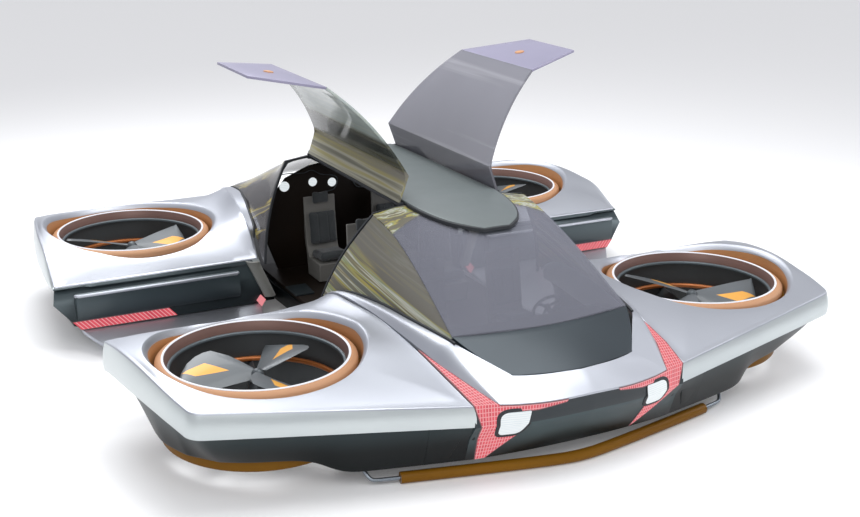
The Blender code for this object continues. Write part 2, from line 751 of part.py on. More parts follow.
def nose_front(x, z):
    """How far forward the nose stands at this place."""
    line = [row_at(row, x) for row in NOSE_ROWS]
    k = max(i for i in range(len(line) - 1) if line[i].z >= z)
    return line[k].lerp(line[k + 1], (z - line[k].z) / (line[k + 1].z - line[k].z)).y


def lamp_body(swell, proud, depth):
    """Solid of the lamp's outline, grown by swell, from proud of the nose to depth behind it."""
    middle = Vector((sum(x for x, z in LAMP), sum(z for x, z in LAMP))) / len(LAMP)
    rings = []
    for push in (-proud, depth):
        ring = []
        for x, z in LAMP:
            out = Vector((x, z)) + (Vector((x, z)) - middle).normalized() * swell
            ring.append((out.x, nose_front(x, z) + push, out.y))
        rings.append(ring)
    return capped(rings)


def nose():
    shell = place_mesh("nose", make_mesh("nose", *plate(across(NOSE_ROWS[::-1]), (0, 0.05, 0))), "slate")
    points, faces = lamp_body(0.001, 0.06, 0.10)
    for side, shape in (("left", points), ("right", mirrored(points))):
        hole = solid("lamp_hole_" + side, shape, faces, "slate")
        hole.hide_render = True
        hole.display_type = "WIRE"
        cut = shell.modifiers.new("lamp_" + side, "BOOLEAN")
        cut.operation = "DIFFERENCE"
        cut.solver = "EXACT"
        cut.object = hole
    both_sides("headlamp", *lamp_body(0.0, LAMP_PROUD, LAMP_DEPTH), "lamp")
    solid("bonnet", *plate(across(BONNET_ROWS), (0, 0, -LIP)), "silver")
    solid("cowl", *plate(across(COWL_ROWS), (0, 0, -0.03)), "slate")


# Windscreen and roof: heights along the middle and along the side crease
SCREEN_MIDDLE = [(-1.222, 0.262), (-0.62, 0.690), (-0.05, 1.020), (0.50, 1.110), (1.09, 1.140)]
SCREEN_CREASE = [(-1.222, 0.180), (-1.064, 0.258), (-0.20, 0.672), (0.566, 0.960), (1.09, 1.046)]
CREASE_X = [(-1.222, 1.120), (-1.064, 1.109), (0.566, 1.019), (1.09, 1.037)]
SCREEN_STATIONS = (0.0033, 0.2, 0.4, 0.6, 0.8, 1.0)
SCREEN_TOP = 1.072          # rear edge of the windscreen, just ahead of the door frame


def screen_point(u, v):
    low = -1.222 + 0.156 * u * u
    y = low + (SCREEN_TOP - low) * v
    x = u * curve(CREASE_X, y)
    bulge = 1 - abs(u) ** 2.4
    z = curve(SCREEN_CREASE, y) * (1 - bulge) + curve(SCREEN_MIDDLE, y) * bulge
    return x, y, z


def windscreen():
    columns = [-1, -0.86, -0.6, -0.3, 0, 0.3, 0.6, 0.86, 1]
    rows = [[screen_point(u, v) for u in columns] for v in SCREEN_STATIONS]
    solid("windscreen", *plate(rows, (0, 0, -GLASS)), "glass")


# Belt line under the front quarter glass: share of its length, then x, y, z
BELT = [(0.0, (1.122, -1.050, 0.225)), (0.3, (1.245, -0.420, 0.250)), (0.55, (1.350, 0.300, 0.250)),
        (0.8, (1.470, 1.000, 0.160)), (1.0, (1.562, 1.485, -0.120))]
QUARTER_BULGE = 0.30
FRAME = 0.030               # width of the door frames


def quarter_glass():
    """Front side glass between the windscreen's crease, the belt and the door frame."""
    rows = []
    for h in (0.0, 0.33, 0.67, 1.0):
        row = []
        for t in SCREEN_STATIONS:
            crease = screen_point(1, t)
            top = Vector((crease[0], crease[1], crease[2] - GLASS - 0.0005))
            foot = Vector(curve(BELT, t))
            p = foot.lerp(top, h)
            p.x += QUARTER_BULGE * h * (1 - h) * (top - foot).length
            row.append(tuple(p))
        rows.append(row)
    both_sides("quarter_glass", *plate(rows, (-GLASS, 0, 0)), "glass")


def hoop(use_front):
    """Slim hoop beside one edge of the shut door, from the roof down to the sill."""
    stations = [(HINGE_X - 0.030, HINGE_Z + 0.002, *DOOR_A[0][2:])] + door_b()
    outer = []
    for x, z, front, rear in stations:
        pair = [front - CLEAR - FRAME, front - CLEAR] if use_front else [rear + CLEAR, rear + CLEAR + FRAME]
        outer.append([(x, y, z) for y in pair])
    lining = door_lining(stations)
    inner = [[(lx, p[1], lz) for p in pair] for pair, (lx, lz, *_) in zip(outer, lining)]
    return between(outer[::-1], inner[::-1])


def door_frames():
    """Rail along each side of the roof with a hoop and a hinge lug at both ends."""
    near, face, far = 0.6203, HINGE_X - BARREL - CLEAR, HINGE_X + 0.024
    front, rear = DOOR_A[0][2], DOOR_A[0][3]
    outline = [(near, front - FRAME), (far, front - FRAME), (far, front), (face, front),
               (face, rear), (far, rear), (far, rear + FRAME), (near, rear + FRAME)]
    rail = make_mesh("rail", *prism(outline, HINGE_Z - 0.050, HINGE_Z + 0.024))
    frame = joined("door_frame", rail, [make_mesh("hoop", *hoop(use_front)) for use_front in (True, False)])
    points = [v.co.copy() for v in frame.vertices]
    faces = [tuple(f.vertices) for f in frame.polygons]
    both_sides("door_frame", points, faces, "trim")


# Rear glass: rows from the door frame back, each from the middle out and down to the belt
SEAM = 0.0010               # between the door frame and the rear glass
REAR_SEAM = DOOR_A[0][3] + CLEAR + FRAME + SEAM
REAR_ROWS = [
    [(0, 4.500, 1.035), (0.46, 4.490, 0.995), (0.930, 4.450, 0.900), (1.210, 4.330, 0.620),
     (1.400, 4.200, 0.370), (1.480, 4.080, 0.160)],
    [(0, 5.150, 0.860), (0.42, 5.130, 0.820), (0.840, 5.080, 0.700), (1.090, 5.000, 0.540),
     (1.240, 4.900, 0.420), (1.340, 4.800, 0.330)],
    [(0, 5.800, 0.590), (0.36, 5.780, 0.565), (0.720, 5.720, 0.490), (0.950, 5.660, 0.410),
     (1.080, 5.600, 0.350), (1.180, 5.520, 0.300)],
    [(0, 6.300, 0.300), (0.32, 6.290, 0.290), (0.640, 6.260, 0.265), (0.860, 6.210, 0.245),
     (1.000, 6.160, 0.230), (1.110, 6.100, 0.215)],
]


def rear_rows():
    """The rows above, with one more along the back of the door frame in front of them."""
    seam = [(0, REAR_SEAM, 1.112), (0.50, REAR_SEAM, 1.088)]
    line = door_b()
    for k in (0, 2, 4, 6):
        x, z, front, rear = line[k]
        seam.append((x, rear + CLEAR + FRAME + SEAM, z))
    return [seam] + REAR_ROWS


def rear_glass():
    solid("rear_glass", *plate(across(rear_rows()), (0, 0, -GLASS)), "glass")


# Roof spine: y, half width
SPINE = [
    (-0.050, 0.160), (0.060, 0.320), (0.250, 0.460), (0.550, 0.565), (0.900, 0.615), (1.100, 0.620),
    (1.130, 0.620), (2.500, 0.620), (3.970, 0.620), (4.040, 0.610), (4.300, 0.560), (4.600, 0.440),
    (4.900, 0.300),
]
SPINE_THICK = 0.040
SPINE_LIFT = 0.0065         # above the windscreen
SPINE_REAR_LIFT = 0.010     # above the doors' ridge and the rear glass


def roof_height(x, y):
    """Height of what lies under the spine: windscreen, the doors' ridge, then rear glass."""
    x = abs(x)
    if y <= SPINE[5][0]:
        low_share = abs(x) / curve(CREASE_X, y)
        bulge = 1 - low_share ** 2.4
        return curve(SCREEN_CREASE, y) * (1 - bulge) + curve(SCREEN_MIDDLE, y) * bulge
    if y < REAR_SEAM - 0.03:
        return 1.125 - 0.020 * (x / 0.62) ** 2
    line = [row_at(row, x) for row in rear_rows()]
    k = max([i for i in range(len(line) - 1) if line[i].y <= y] or [0])
    return line[k].lerp(line[k + 1], max(0.0, (y - line[k].y) / (line[k + 1].y - line[k].y))).z


def spine():
    rows = []
    for y, half in SPINE:
        lift = SPINE_LIFT if y <= SPINE[5][0] else SPINE_REAR_LIFT
        row = []
        for u in (-1, -0.6, 0, 0.6, 1):
            row.append((half * u, y, roof_height(half * u, y) + lift + SPINE_THICK))
        rows.append(row)
    solid("roof_spine", *plate(rows, (0, 0, -SPINE_THICK)), "roof")


# Shoulders between the glass and the pods: inner, crest and outer points, from the bonnet back
SHOULDER_ROWS = [
    [(1.0005, -1.800, -0.075), (1.045, -1.785, -0.085), (1.083, -1.770, -0.115)],
    [(0.9005, -1.640, 0.020), (1.030, -1.600, 0.030), (1.152, -1.550, -0.030)],
    [(1.0105, -1.300, 0.155), (1.150, -1.250, 0.150), (1.268, -1.200, 0.045)],
    [(1.140, -1.020, 0.225), (1.262, -0.980, 0.205), (1.355, -0.930, 0.080)],
    [(1.262, -0.420, 0.245), (1.350, -0.420, 0.245), (1.424, -0.420, 0.145)],
    [(1.372, 0.300, 0.245), (1.445, 0.300, 0.262), (1.500, 0.300, 0.205)],
    [(1.492, 1.000, 0.155), (1.545, 1.000, 0.195), (1.586, 1.000, 0.180)],
    [(1.588, 1.440, -0.100), (1.602, 1.460, -0.090), (1.616, 1.480, -0.095)],
]
STRIP_TOP = [               # inner and outer points of the lit strip beside the bonnet
    [(1.386, -0.860, 0.074), (1.3946, -0.860, 0.074)],
    [(1.279, -1.200, 0.038), (1.3606, -1.200, 0.005)],
    [(1.164, -1.550, -0.035), (1.328, -1.550, -0.075)],
    [(1.034, -1.943, -0.170), (1.2952, -1.882, -0.160)],
]
STRIP_FRONT = [             # and down the nose beside the lamp
    [(1.236, -1.720, -0.846), (1.294, -1.705, -0.846)],
    [(1.106, -1.838, -0.570), (1.296, -1.800, -0.570)],
    [(1.016, -1.962, -0.395), (1.240, -1.925, -0.390)],
    [(1.034, -1.943, -0.180), (1.2948, -1.882, -0.170)],
]


def shoulders():
    both_sides("shoulder", *plate([r[::-1] for r in SHOULDER_ROWS], (0, 0, -0.03)), "silver")


def light_strips():
    top = make_mesh("strip_top", *plate([r[::-1] for r in STRIP_TOP], (0, 0, -LIP)))
    front = make_mesh("strip_front", *plate(STRIP_FRONT, (0, 0.025, 0)))
    strip = joined("light_strip", top, [front])
    points = [v.co.copy() for v in strip.vertices]
    both_sides("light_strip", points, [tuple(f.vertices) for f in strip.polygons], "red_light")


FACE_HEAD = 3.7628          # back of the face against the sloping hull, at its top
FACE_HEAD_OUT = 3.7538      # the same at its outer end
FACE_FOOT = 3.7772          # and at its foot
# Rear pod's dark front face: its corners at the inner end, then at the outer end
REAR_FACE = [
    [(1.600, 3.735, -0.232), (1.600, 3.640, -0.406), (1.600, 3.520, -0.640), (1.600, 3.492, -0.748),
     (1.600, FACE_FOOT, -0.748), (1.600, FACE_HEAD, -0.232)],
    [(4.318, 3.735, -0.232), (4.365, 3.606, -0.406), (4.155, 3.514, -0.640), (4.050, 3.492, -0.748),
     (4.050, FACE_FOOT, -0.748), (4.290, FACE_HEAD_OUT, -0.232)],
]
# Raised panel on that face: profile in y, z, then the x of its two ends
HOUSING = [(3.60, -0.300), (3.53, -0.262), (3.475, -0.262), (3.445, -0.285), (3.442, -0.330),
           (3.430, -0.540), (3.470, -0.610), (3.60, -0.620)]
HOUSING_ENDS = (1.92, 4.10)
# Side deck between the pods: y, inner x, outer x, height
DECK = [
    (1.300, 1.900, 3.550, -0.870),
    (1.900, 1.700, 3.450, -0.885),
    (2.500, 1.700, 3.500, -0.890),
    (3.050, 1.700, 3.760, -0.880),
    (3.250, 1.680, 3.900, -0.850),
    (3.490, 1.610, 4.040, -0.7484),
    (3.700, 1.610, 4.030, -0.7484),
]
DECK_THICK = 0.05


def rear_faces():
    """Dark front face of each rear pod, with the raised panel across it."""
    face = make_mesh("face", *capped(REAR_FACE))
    panel = make_mesh("panel", *capped([[(x, y, z) for y, z in HOUSING] for x in HOUSING_ENDS]))
    whole = joined("rear_face", face, [panel])
    points = [v.co.copy() for v in whole.vertices]
    both_sides("rear_face", points, [tuple(f.vertices) for f in whole.polygons], "hull")


def side_decks():
    rows = [[(outer, y, z), ((inner + outer) / 2, y, z), (inner, y, z)]
            for y, inner, outer, z in DECK]
    both_sides("side_deck", *plate(rows, (0, 0, -DECK_THICK)), "silver")


# Skid: the tube's half route from the middle out, then the rod's from the tube up to the hull
TUBE_ROUTE = [(0.0, -1.905), (0.30, -1.870), (1.00, -1.725), (1.939, -1.514)]
ROD_START = (1.850, -1.534, GROUND + TUBE_RADIUS)       # inside the tube
ROD_ROUTE = [
    ROD_START, (1.945, -1.5125, -0.986), (2.190, -1.458, -0.986), (2.235, -1.440, -0.975),
    (2.262, -1.400, -0.935), (2.281, -1.345, -0.880), (2.281, -1.345, HULL_FOOT - GAP),
]
SKID_STEP = 7.545           # the rear skid is the same, this far behind the front one


def skids():
    """Bent crosswise tubes, each with a steel rod out of both ends, up to the hull's foot."""
    z = GROUND + TUBE_RADIUS
    half = [(x, y, z) for x, y in TUBE_ROUTE]
    tube = make_mesh("tube", *swept([(-x, y, h) for x, y, h in half[:0:-1]] + half, TUBE_RADIUS))
    rods = []
    for side in (1, -1):
        route = [(side * x, y, h) for x, y, h in ROD_ROUTE]
        rods.append(make_mesh("rod", *swept(route, ROD_RADIUS, 8)))
    mesh = joined("skid", tube, rods)
    place_mesh("skid_front", mesh, "skid")
    place_mesh("skid_rear", mesh, "skid", location=(0, SKID_STEP, 0))


# Seat profile: distance back from the seat's front edge, height over the floor
SEAT_PROFILE = [
    (0.00, 0.00), (-0.02, 0.28), (-0.10, 0.36), (-0.08, 0.43), (0.36, 0.40), (0.46, 0.90), (0.47, 0.95),
    (0.45, 1.00), (0.47, 1.20), (0.54, 1.24), (0.60, 1.20), (0.58, 0.95), (0.56, 0.50), (0.48, 0.30),
    (0.46, 0.00),
]
SEAT_ROWS = [("front", 0.12), ("middle", 1.95), ("rear", 3.45)]     # name, y of the front edge
SEAT_X = 0.52               # middle of a seat
SEAT_HALF = 0.25
PLINTH_ENDS = (0.05, 0.42)  # the base under both seats of a row
PLINTH = 0.12


def seats():
    low = FLOOR_Z + GAP
    wide = SEAT_X + SEAT_HALF
    for name, y in SEAT_ROWS:
        front, back = (y + end for end in PLINTH_ENDS)
        base = make_mesh("plinth", *box((-wide, front, low), (wide, back, low + PLINTH)))
        shapes = []
        for middle in (SEAT_X, -SEAT_X):
            sides = (middle - SEAT_HALF, middle + SEAT_HALF)
            rings = [[(x, y + b, low + h) for b, h in SEAT_PROFILE] for x in sides]
            shapes.append(make_mesh("seat", *capped(rings)))
        place_mesh("seats_" + name, joined("seats_" + name, base, shapes), "seat")


# Dashboard profile: y, height; the panel that carries the wheel is the third side from the top
DASH_PROFILE = [
    (-0.98, FLOOR_Z + GAP), (-0.98, 0.10), (-0.90, 0.16), (-0.62, 0.14), (-0.550, 0.060),
    (-0.4865, -0.050), (-0.53, -0.12), (-0.75, -0.20), (-0.80, FLOOR_Z + GAP),
]
DASH_HALF = 1.02


def dashboard():
    rings = [[(x, y, z) for y, z in DASH_PROFILE] for x in (-DASH_HALF, DASH_HALF)]
    solid("dashboard", *capped(rings), "trim")


WHEEL_X = 0.52
WHEEL_REACH = 0.195         # from the dashboard's panel to the middle of the wheel
WHEEL_RADIUS = 0.180


def steering_wheel():
    """Ring with three spokes and a short column, square to the dashboard's panel."""
    upper, lower = DASH_PROFILE[4], DASH_PROFILE[5]
    lean = math.atan2(lower[0] - upper[0], upper[1] - lower[1])
    middle = ((upper[0] + lower[0]) / 2, (upper[1] + lower[1]) / 2)
    place = (WHEEL_X, middle[0] + WHEEL_REACH * math.cos(lean), middle[1] + WHEEL_REACH * math.sin(lean))
    grip = [(-0.015, -0.012), (0.010, -0.016), (0.015, 0.0), (0.010, 0.016), (-0.015, 0.012)]
    rim = make_mesh("rim", *turned([(WHEEL_RADIUS + r, z) for r, z in grip], 24))
    foot = GAP - WHEEL_REACH
    shaft = [(0.0, foot), (0.028, foot), (0.035, -0.02), (0.04, 0.012), (0.0, 0.014)]
    column = make_mesh("column", *turned(shaft, 12))
    arms = []
    for k in range(3):
        turn = Matrix.Rotation(math.radians(90 + 120 * k), 3, "Z")
        points, faces = box((0.02, -0.018, -0.008), (WHEEL_RADIUS - 0.005, 0.018, 0.006))
        arms.append(make_mesh("arm", [turn @ Vector(p) for p in points], faces))
    wheel = joined("steering_wheel", rim, [column] + arms)
    piece = place_mesh("steering_wheel", wheel, "trim", RINGS, place)
    piece.rotation_euler = (lean - math.pi / 2, 0, 0)


# Bulkhead behind the cabin: half outline in x, z, and its two faces in y
BULKHEAD = [
    (0, FLOOR_Z + GAP), (1.05, FLOOR_Z + GAP), (1.20, -0.20), (1.20, 0.20), (1.12, 0.45), (0.90, 0.72),
    (0.55, 0.86), (0, 0.93),
]
BULKHEAD_FACES = (4.30, 4.36)


def bulkhead():
    whole = BULKHEAD + [(-x, z) for x, z in BULKHEAD[-2:0:-1]]
    rings = [[(x, y, z) for x, z in whole] for y in BULKHEAD_FACES]
    solid("bulkhead", *capped(rings), "brown")


def main():
    fans()
    front_fan, rear_fan = (FRONT_FAN_X, 0.0), (REAR_FAN_X, REAR_FAN_Y)
    front_shape = pod("pod_front", front_fan, FRONT_POD, FRONT_RIM, front_band)
    pod_hull("hull_front", front_fan, front_shape, FRONT_FOOT, FRONT_STEPS, front_hull_foot)
    rear_shape = pod("pod_rear", rear_fan, REAR_POD, REAR_RIM, rear_band)
    pod_hull("hull_rear", rear_fan, rear_shape, REAR_FOOT, REAR_STEPS, rear_hull_foot)
    doors()
    keel()
    cabin_floor()
    nose()
    windscreen()
    quarter_glass()
    door_frames()
    spine()
    rear_glass()
    shoulders()
    light_strips()
    rear_faces()
    side_decks()
    skids()
    seats()
    dashboard()
    steering_wheel()
    bulkhead()


main()
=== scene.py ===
import json
import math

import bmesh
import bpy
from mathutils import Matrix, Vector
from mathutils.bvhtree import BVHTree


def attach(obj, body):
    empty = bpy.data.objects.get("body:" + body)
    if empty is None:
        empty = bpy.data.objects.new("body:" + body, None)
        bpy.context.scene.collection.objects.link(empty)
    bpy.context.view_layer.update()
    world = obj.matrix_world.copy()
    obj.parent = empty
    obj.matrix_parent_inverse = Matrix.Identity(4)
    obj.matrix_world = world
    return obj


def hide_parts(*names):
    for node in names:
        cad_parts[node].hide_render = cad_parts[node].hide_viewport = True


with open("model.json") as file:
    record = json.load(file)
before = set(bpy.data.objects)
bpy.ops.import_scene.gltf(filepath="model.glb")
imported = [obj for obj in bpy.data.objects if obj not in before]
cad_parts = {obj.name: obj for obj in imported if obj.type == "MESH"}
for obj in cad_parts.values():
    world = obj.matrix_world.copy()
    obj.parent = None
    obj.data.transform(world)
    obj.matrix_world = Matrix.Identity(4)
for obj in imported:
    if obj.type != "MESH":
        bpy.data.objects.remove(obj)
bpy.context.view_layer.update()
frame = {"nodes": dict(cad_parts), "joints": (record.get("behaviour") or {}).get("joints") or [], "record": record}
print("frame loaded:", len(frame["nodes"]), "nodes")

# Fans are placed by their joints; ringMiddle is halfway between the front fans, in the plane of their lit rings
rotorDepth = 0.27  # the rotors' joints lie this far below the rings
sides = (("left", 1), ("right", -1))  # each side and the sign of x there
fanNames = ["front_left", "front_right", "rear_left", "rear_right"]
jointAt = {joint["name"]: Vector(joint["pos_m"]) for joint in frame["joints"]}
fanAt = {name: jointAt["rotor_" + name + "_spin"] + Vector((0, 0, rotorDepth)) for name in fanNames}
ringMiddle = (fanAt["front_left"] + fanAt["front_right"]) / 2


# Node helpers

def startTree(treeKind, name, inputs, outputs):
    tree = bpy.data.node_groups.new(name, treeKind)
    for label, kind, value in inputs:
        socket = tree.interface.new_socket(label, in_out="INPUT", socket_type="NodeSocket" + kind)
        if value is not None:
            socket.default_value = value
    for label, kind in outputs:
        tree.interface.new_socket(label, in_out="OUTPUT", socket_type="NodeSocket" + kind)
    return tree, tree.nodes.new("NodeGroupInput").outputs, tree.nodes.new("NodeGroupOutput").inputs


def newNode(tree, kind, sockets=None, **settings):
    node = tree.nodes.new(kind)
    for key, value in settings.items():
        setattr(node, key, value)
    for key, value in (sockets or {}).items():
        if isinstance(value, bpy.types.NodeSocket):
            tree.links.new(value, node.inputs[key])
        else:
            node.inputs[key].default_value = value
    return node


def addNode(tree, kind, sockets=None, **settings):
    return newNode(tree, "ShaderNode" + kind, sockets, **settings)


def addMath(tree, operation, first, second):
    return addNode(tree, "Math", {0: first, 1: second}, operation=operation).outputs[0]


def link(tree, pairs):
    for source, target in pairs:
        tree.links.new(source, target)


def addLadder(tree, share, stops):
    # A colour ramp: position and colour of each stop
    ramp = addNode(tree, "ValToRGB", {"Fac": share})
    rungs = ramp.color_ramp.elements
    while len(rungs) < len(stops):
        rungs.new(0.5)
    for rung, (position, colour) in zip(rungs, stops):
        rung.position = position
        rung.color = colour
    return ramp.outputs


# Shader groups: each is built once and gives colours, roughness values and normals to the materials below

groupOutputs = [("Color", "Color"), ("Roughness", "Float"), ("Normal", "Vector")]


def paintGroup():
    # Metal paint: slow shading between two tones, a painted shade that darkens it low down, fine flakes, and a little
    # orange peel
    tree, given, out = startTree(
        "ShaderNodeTree", "metalPaint",
        [("Tone", "Color", (0.6, 0.6, 0.6, 1)), ("Shade", "Color", (0.5, 0.5, 0.5, 1)), ("Cloud Scale", "Float", 0.6),
         ("Flake Scale", "Float", 420.0), ("Flake Strength", "Float", 0.05), ("Roughness", "Float", 0.3),
         ("Peel", "Float", 0.05), ("Low Shade", "Color", (0.5, 0.5, 0.5, 1)), ("Low From", "Float", -9.0),
         ("Low To", "Float", -8.0)],
        groupOutputs)
    place = addNode(tree, "TexCoord").outputs["Object"]
    cloud = addNode(tree, "TexNoise", {"Vector": place, "Scale": given["Cloud Scale"], "Detail": 2.0})
    flake = addNode(tree, "TexNoise", {"Vector": place, "Scale": given["Flake Scale"], "Detail": 1.0})
    spread = addNode(tree, "MapRange", {"Value": cloud.outputs["Fac"], "From Min": 0.35, "From Max": 0.65})
    upper = addNode(tree, "MixRGB", {"Fac": spread.outputs[0], "Color1": given["Tone"], "Color2": given["Shade"]})
    height = addNode(tree, "SeparateXYZ", {0: place}).outputs["Z"]
    # The low tone is painted shade: the colour turns darker towards the bottom
    lowShade = addNode(tree, "MapRange", {"Value": height, "From Min": given["Low From"], "From Max": given["Low To"]},
                   interpolation_type="SMOOTHSTEP")
    tone = addNode(tree, "MixRGB", {"Fac": lowShade.outputs[0], "Color1": given["Low Shade"], "Color2": upper.outputs[0]})
    centred = addMath(tree, "SUBTRACT", flake.outputs["Fac"], 0.5)
    sparkle = addMath(tree, "ADD", addMath(tree, "MULTIPLY", centred, given["Flake Strength"]), 1.0)
    shine = addNode(tree, "VectorMath", {0: tone.outputs[0]}, operation="SCALE")
    link(tree, [(sparkle, shine.inputs["Scale"]), (shine.outputs[0], out["Color"])])
    rough = addMath(tree, "ADD", given["Roughness"], addMath(tree, "MULTIPLY", centred, 0.12))
    peel = addNode(tree, "TexNoise", {"Vector": place, "Scale": 55.0, "Detail": 1.0})
    bump = addNode(tree, "Bump", {"Strength": given["Peel"], "Distance": 0.002, "Height": peel.outputs["Fac"]})
    link(tree, [(rough, out["Roughness"]), (bump.outputs[0], out["Normal"])])
    return tree


def grainGroup():
    # Moulded plastic and rubber: a pebbled grain over a slightly uneven colour
    tree, given, out = startTree(
        "ShaderNodeTree", "mouldedGrain",
        [("Tone", "Color", (0.1, 0.1, 0.1, 1)), ("Shade", "Color", (0.05, 0.05, 0.05, 1)),
         ("Grain Scale", "Float", 160.0), ("Grain Depth", "Float", 0.3), ("Roughness", "Float", 0.6)],
        groupOutputs)
    place = addNode(tree, "TexCoord").outputs["Object"]
    cells = addNode(tree, "TexVoronoi", {"Vector": place, "Scale": given["Grain Scale"]}, feature="SMOOTH_F1")
    cloud = addNode(tree, "TexNoise", {"Vector": place, "Scale": 2.2, "Detail": 3.0})
    tone = addNode(tree, "MixRGB", {"Fac": cloud.outputs["Fac"], "Color1": given["Tone"], "Color2": given["Shade"]})
    bump = addNode(tree, "Bump", {"Strength": given["Grain Depth"], "Distance": 0.001,
                                  "Height": cells.outputs["Distance"]})
    uneven = addMath(tree, "MULTIPLY", addMath(tree, "SUBTRACT", cloud.outputs["Fac"], 0.5), 0.15)
    link(tree, [(tone.outputs[0], out["Color"]), (bump.outputs[0], out["Normal"]),
                (addMath(tree, "ADD", given["Roughness"], uneven), out["Roughness"])])
    return tree


def clothGroup():
    # Upholstery: two crossed sets of threads
    tree, given, out = startTree(
        "ShaderNodeTree", "wovenCloth",
        [("Tone", "Color", (0.1, 0.1, 0.1, 1)), ("Shade", "Color", (0.05, 0.05, 0.05, 1)),
         ("Thread Scale", "Float", 90.0), ("Depth", "Float", 0.4)],
        groupOutputs)
    place = addNode(tree, "TexCoord").outputs["Object"]
    threads = []
    for direction in ("X", "Z"):
        wave = addNode(tree, "TexWave", {"Vector": place, "Scale": given["Thread Scale"], "Distortion": 0.6},
                       wave_type="BANDS", bands_direction=direction)
        threads.append(wave.outputs["Fac"])
    weave = addMath(tree, "MAXIMUM", threads[0], threads[1])
    cloud = addNode(tree, "TexNoise", {"Vector": place, "Scale": 6.0, "Detail": 2.0})
    mixed = addMath(tree, "MULTIPLY", weave, cloud.outputs["Fac"])
    tone = addNode(tree, "MixRGB", {"Fac": mixed, "Color1": given["Shade"], "Color2": given["Tone"]})
    bump = addNode(tree, "Bump", {"Strength": given["Depth"], "Distance": 0.002, "Height": weave})
    link(tree, [(tone.outputs[0], out["Color"]), (bump.outputs[0], out["Normal"]),
                (addMath(tree, "ADD", addMath(tree, "MULTIPLY", cloud.outputs["Fac"], 0.1), 0.75), out["Roughness"])])
    return tree


groups = {"paint": paintGroup(), "grain": grainGroup(), "cloth": clothGroup()}


# Materials: which group feeds each, its values there, and the shader's own plain values

def startMaterial(name, plain):
    material = bpy.data.materials.new(name)
    material.use_nodes = True
    tree = material.node_tree
    shader = tree.nodes["Principled BSDF"]
    for key, value in plain.items():
        shader.inputs[key].default_value = value
    return material, tree, shader


def addGroup(tree, group, values):
    node = tree.nodes.new("ShaderNodeGroup")
    node.node_tree = groups[group]
    for key, value in values.items():
        node.inputs[key].default_value = value if isinstance(value, (int, float)) else (*value, 1)
    return node


def finish(name, group, values, plain):
    material, tree, shader = startMaterial(name, plain)
    node = addGroup(tree, group, values)
    link(tree, [(node.outputs["Color"], shader.inputs["Base Color"]),
                (node.outputs["Roughness"], shader.inputs["Roughness"]),
                (node.outputs["Normal"], shader.inputs["Normal"])])
    return material


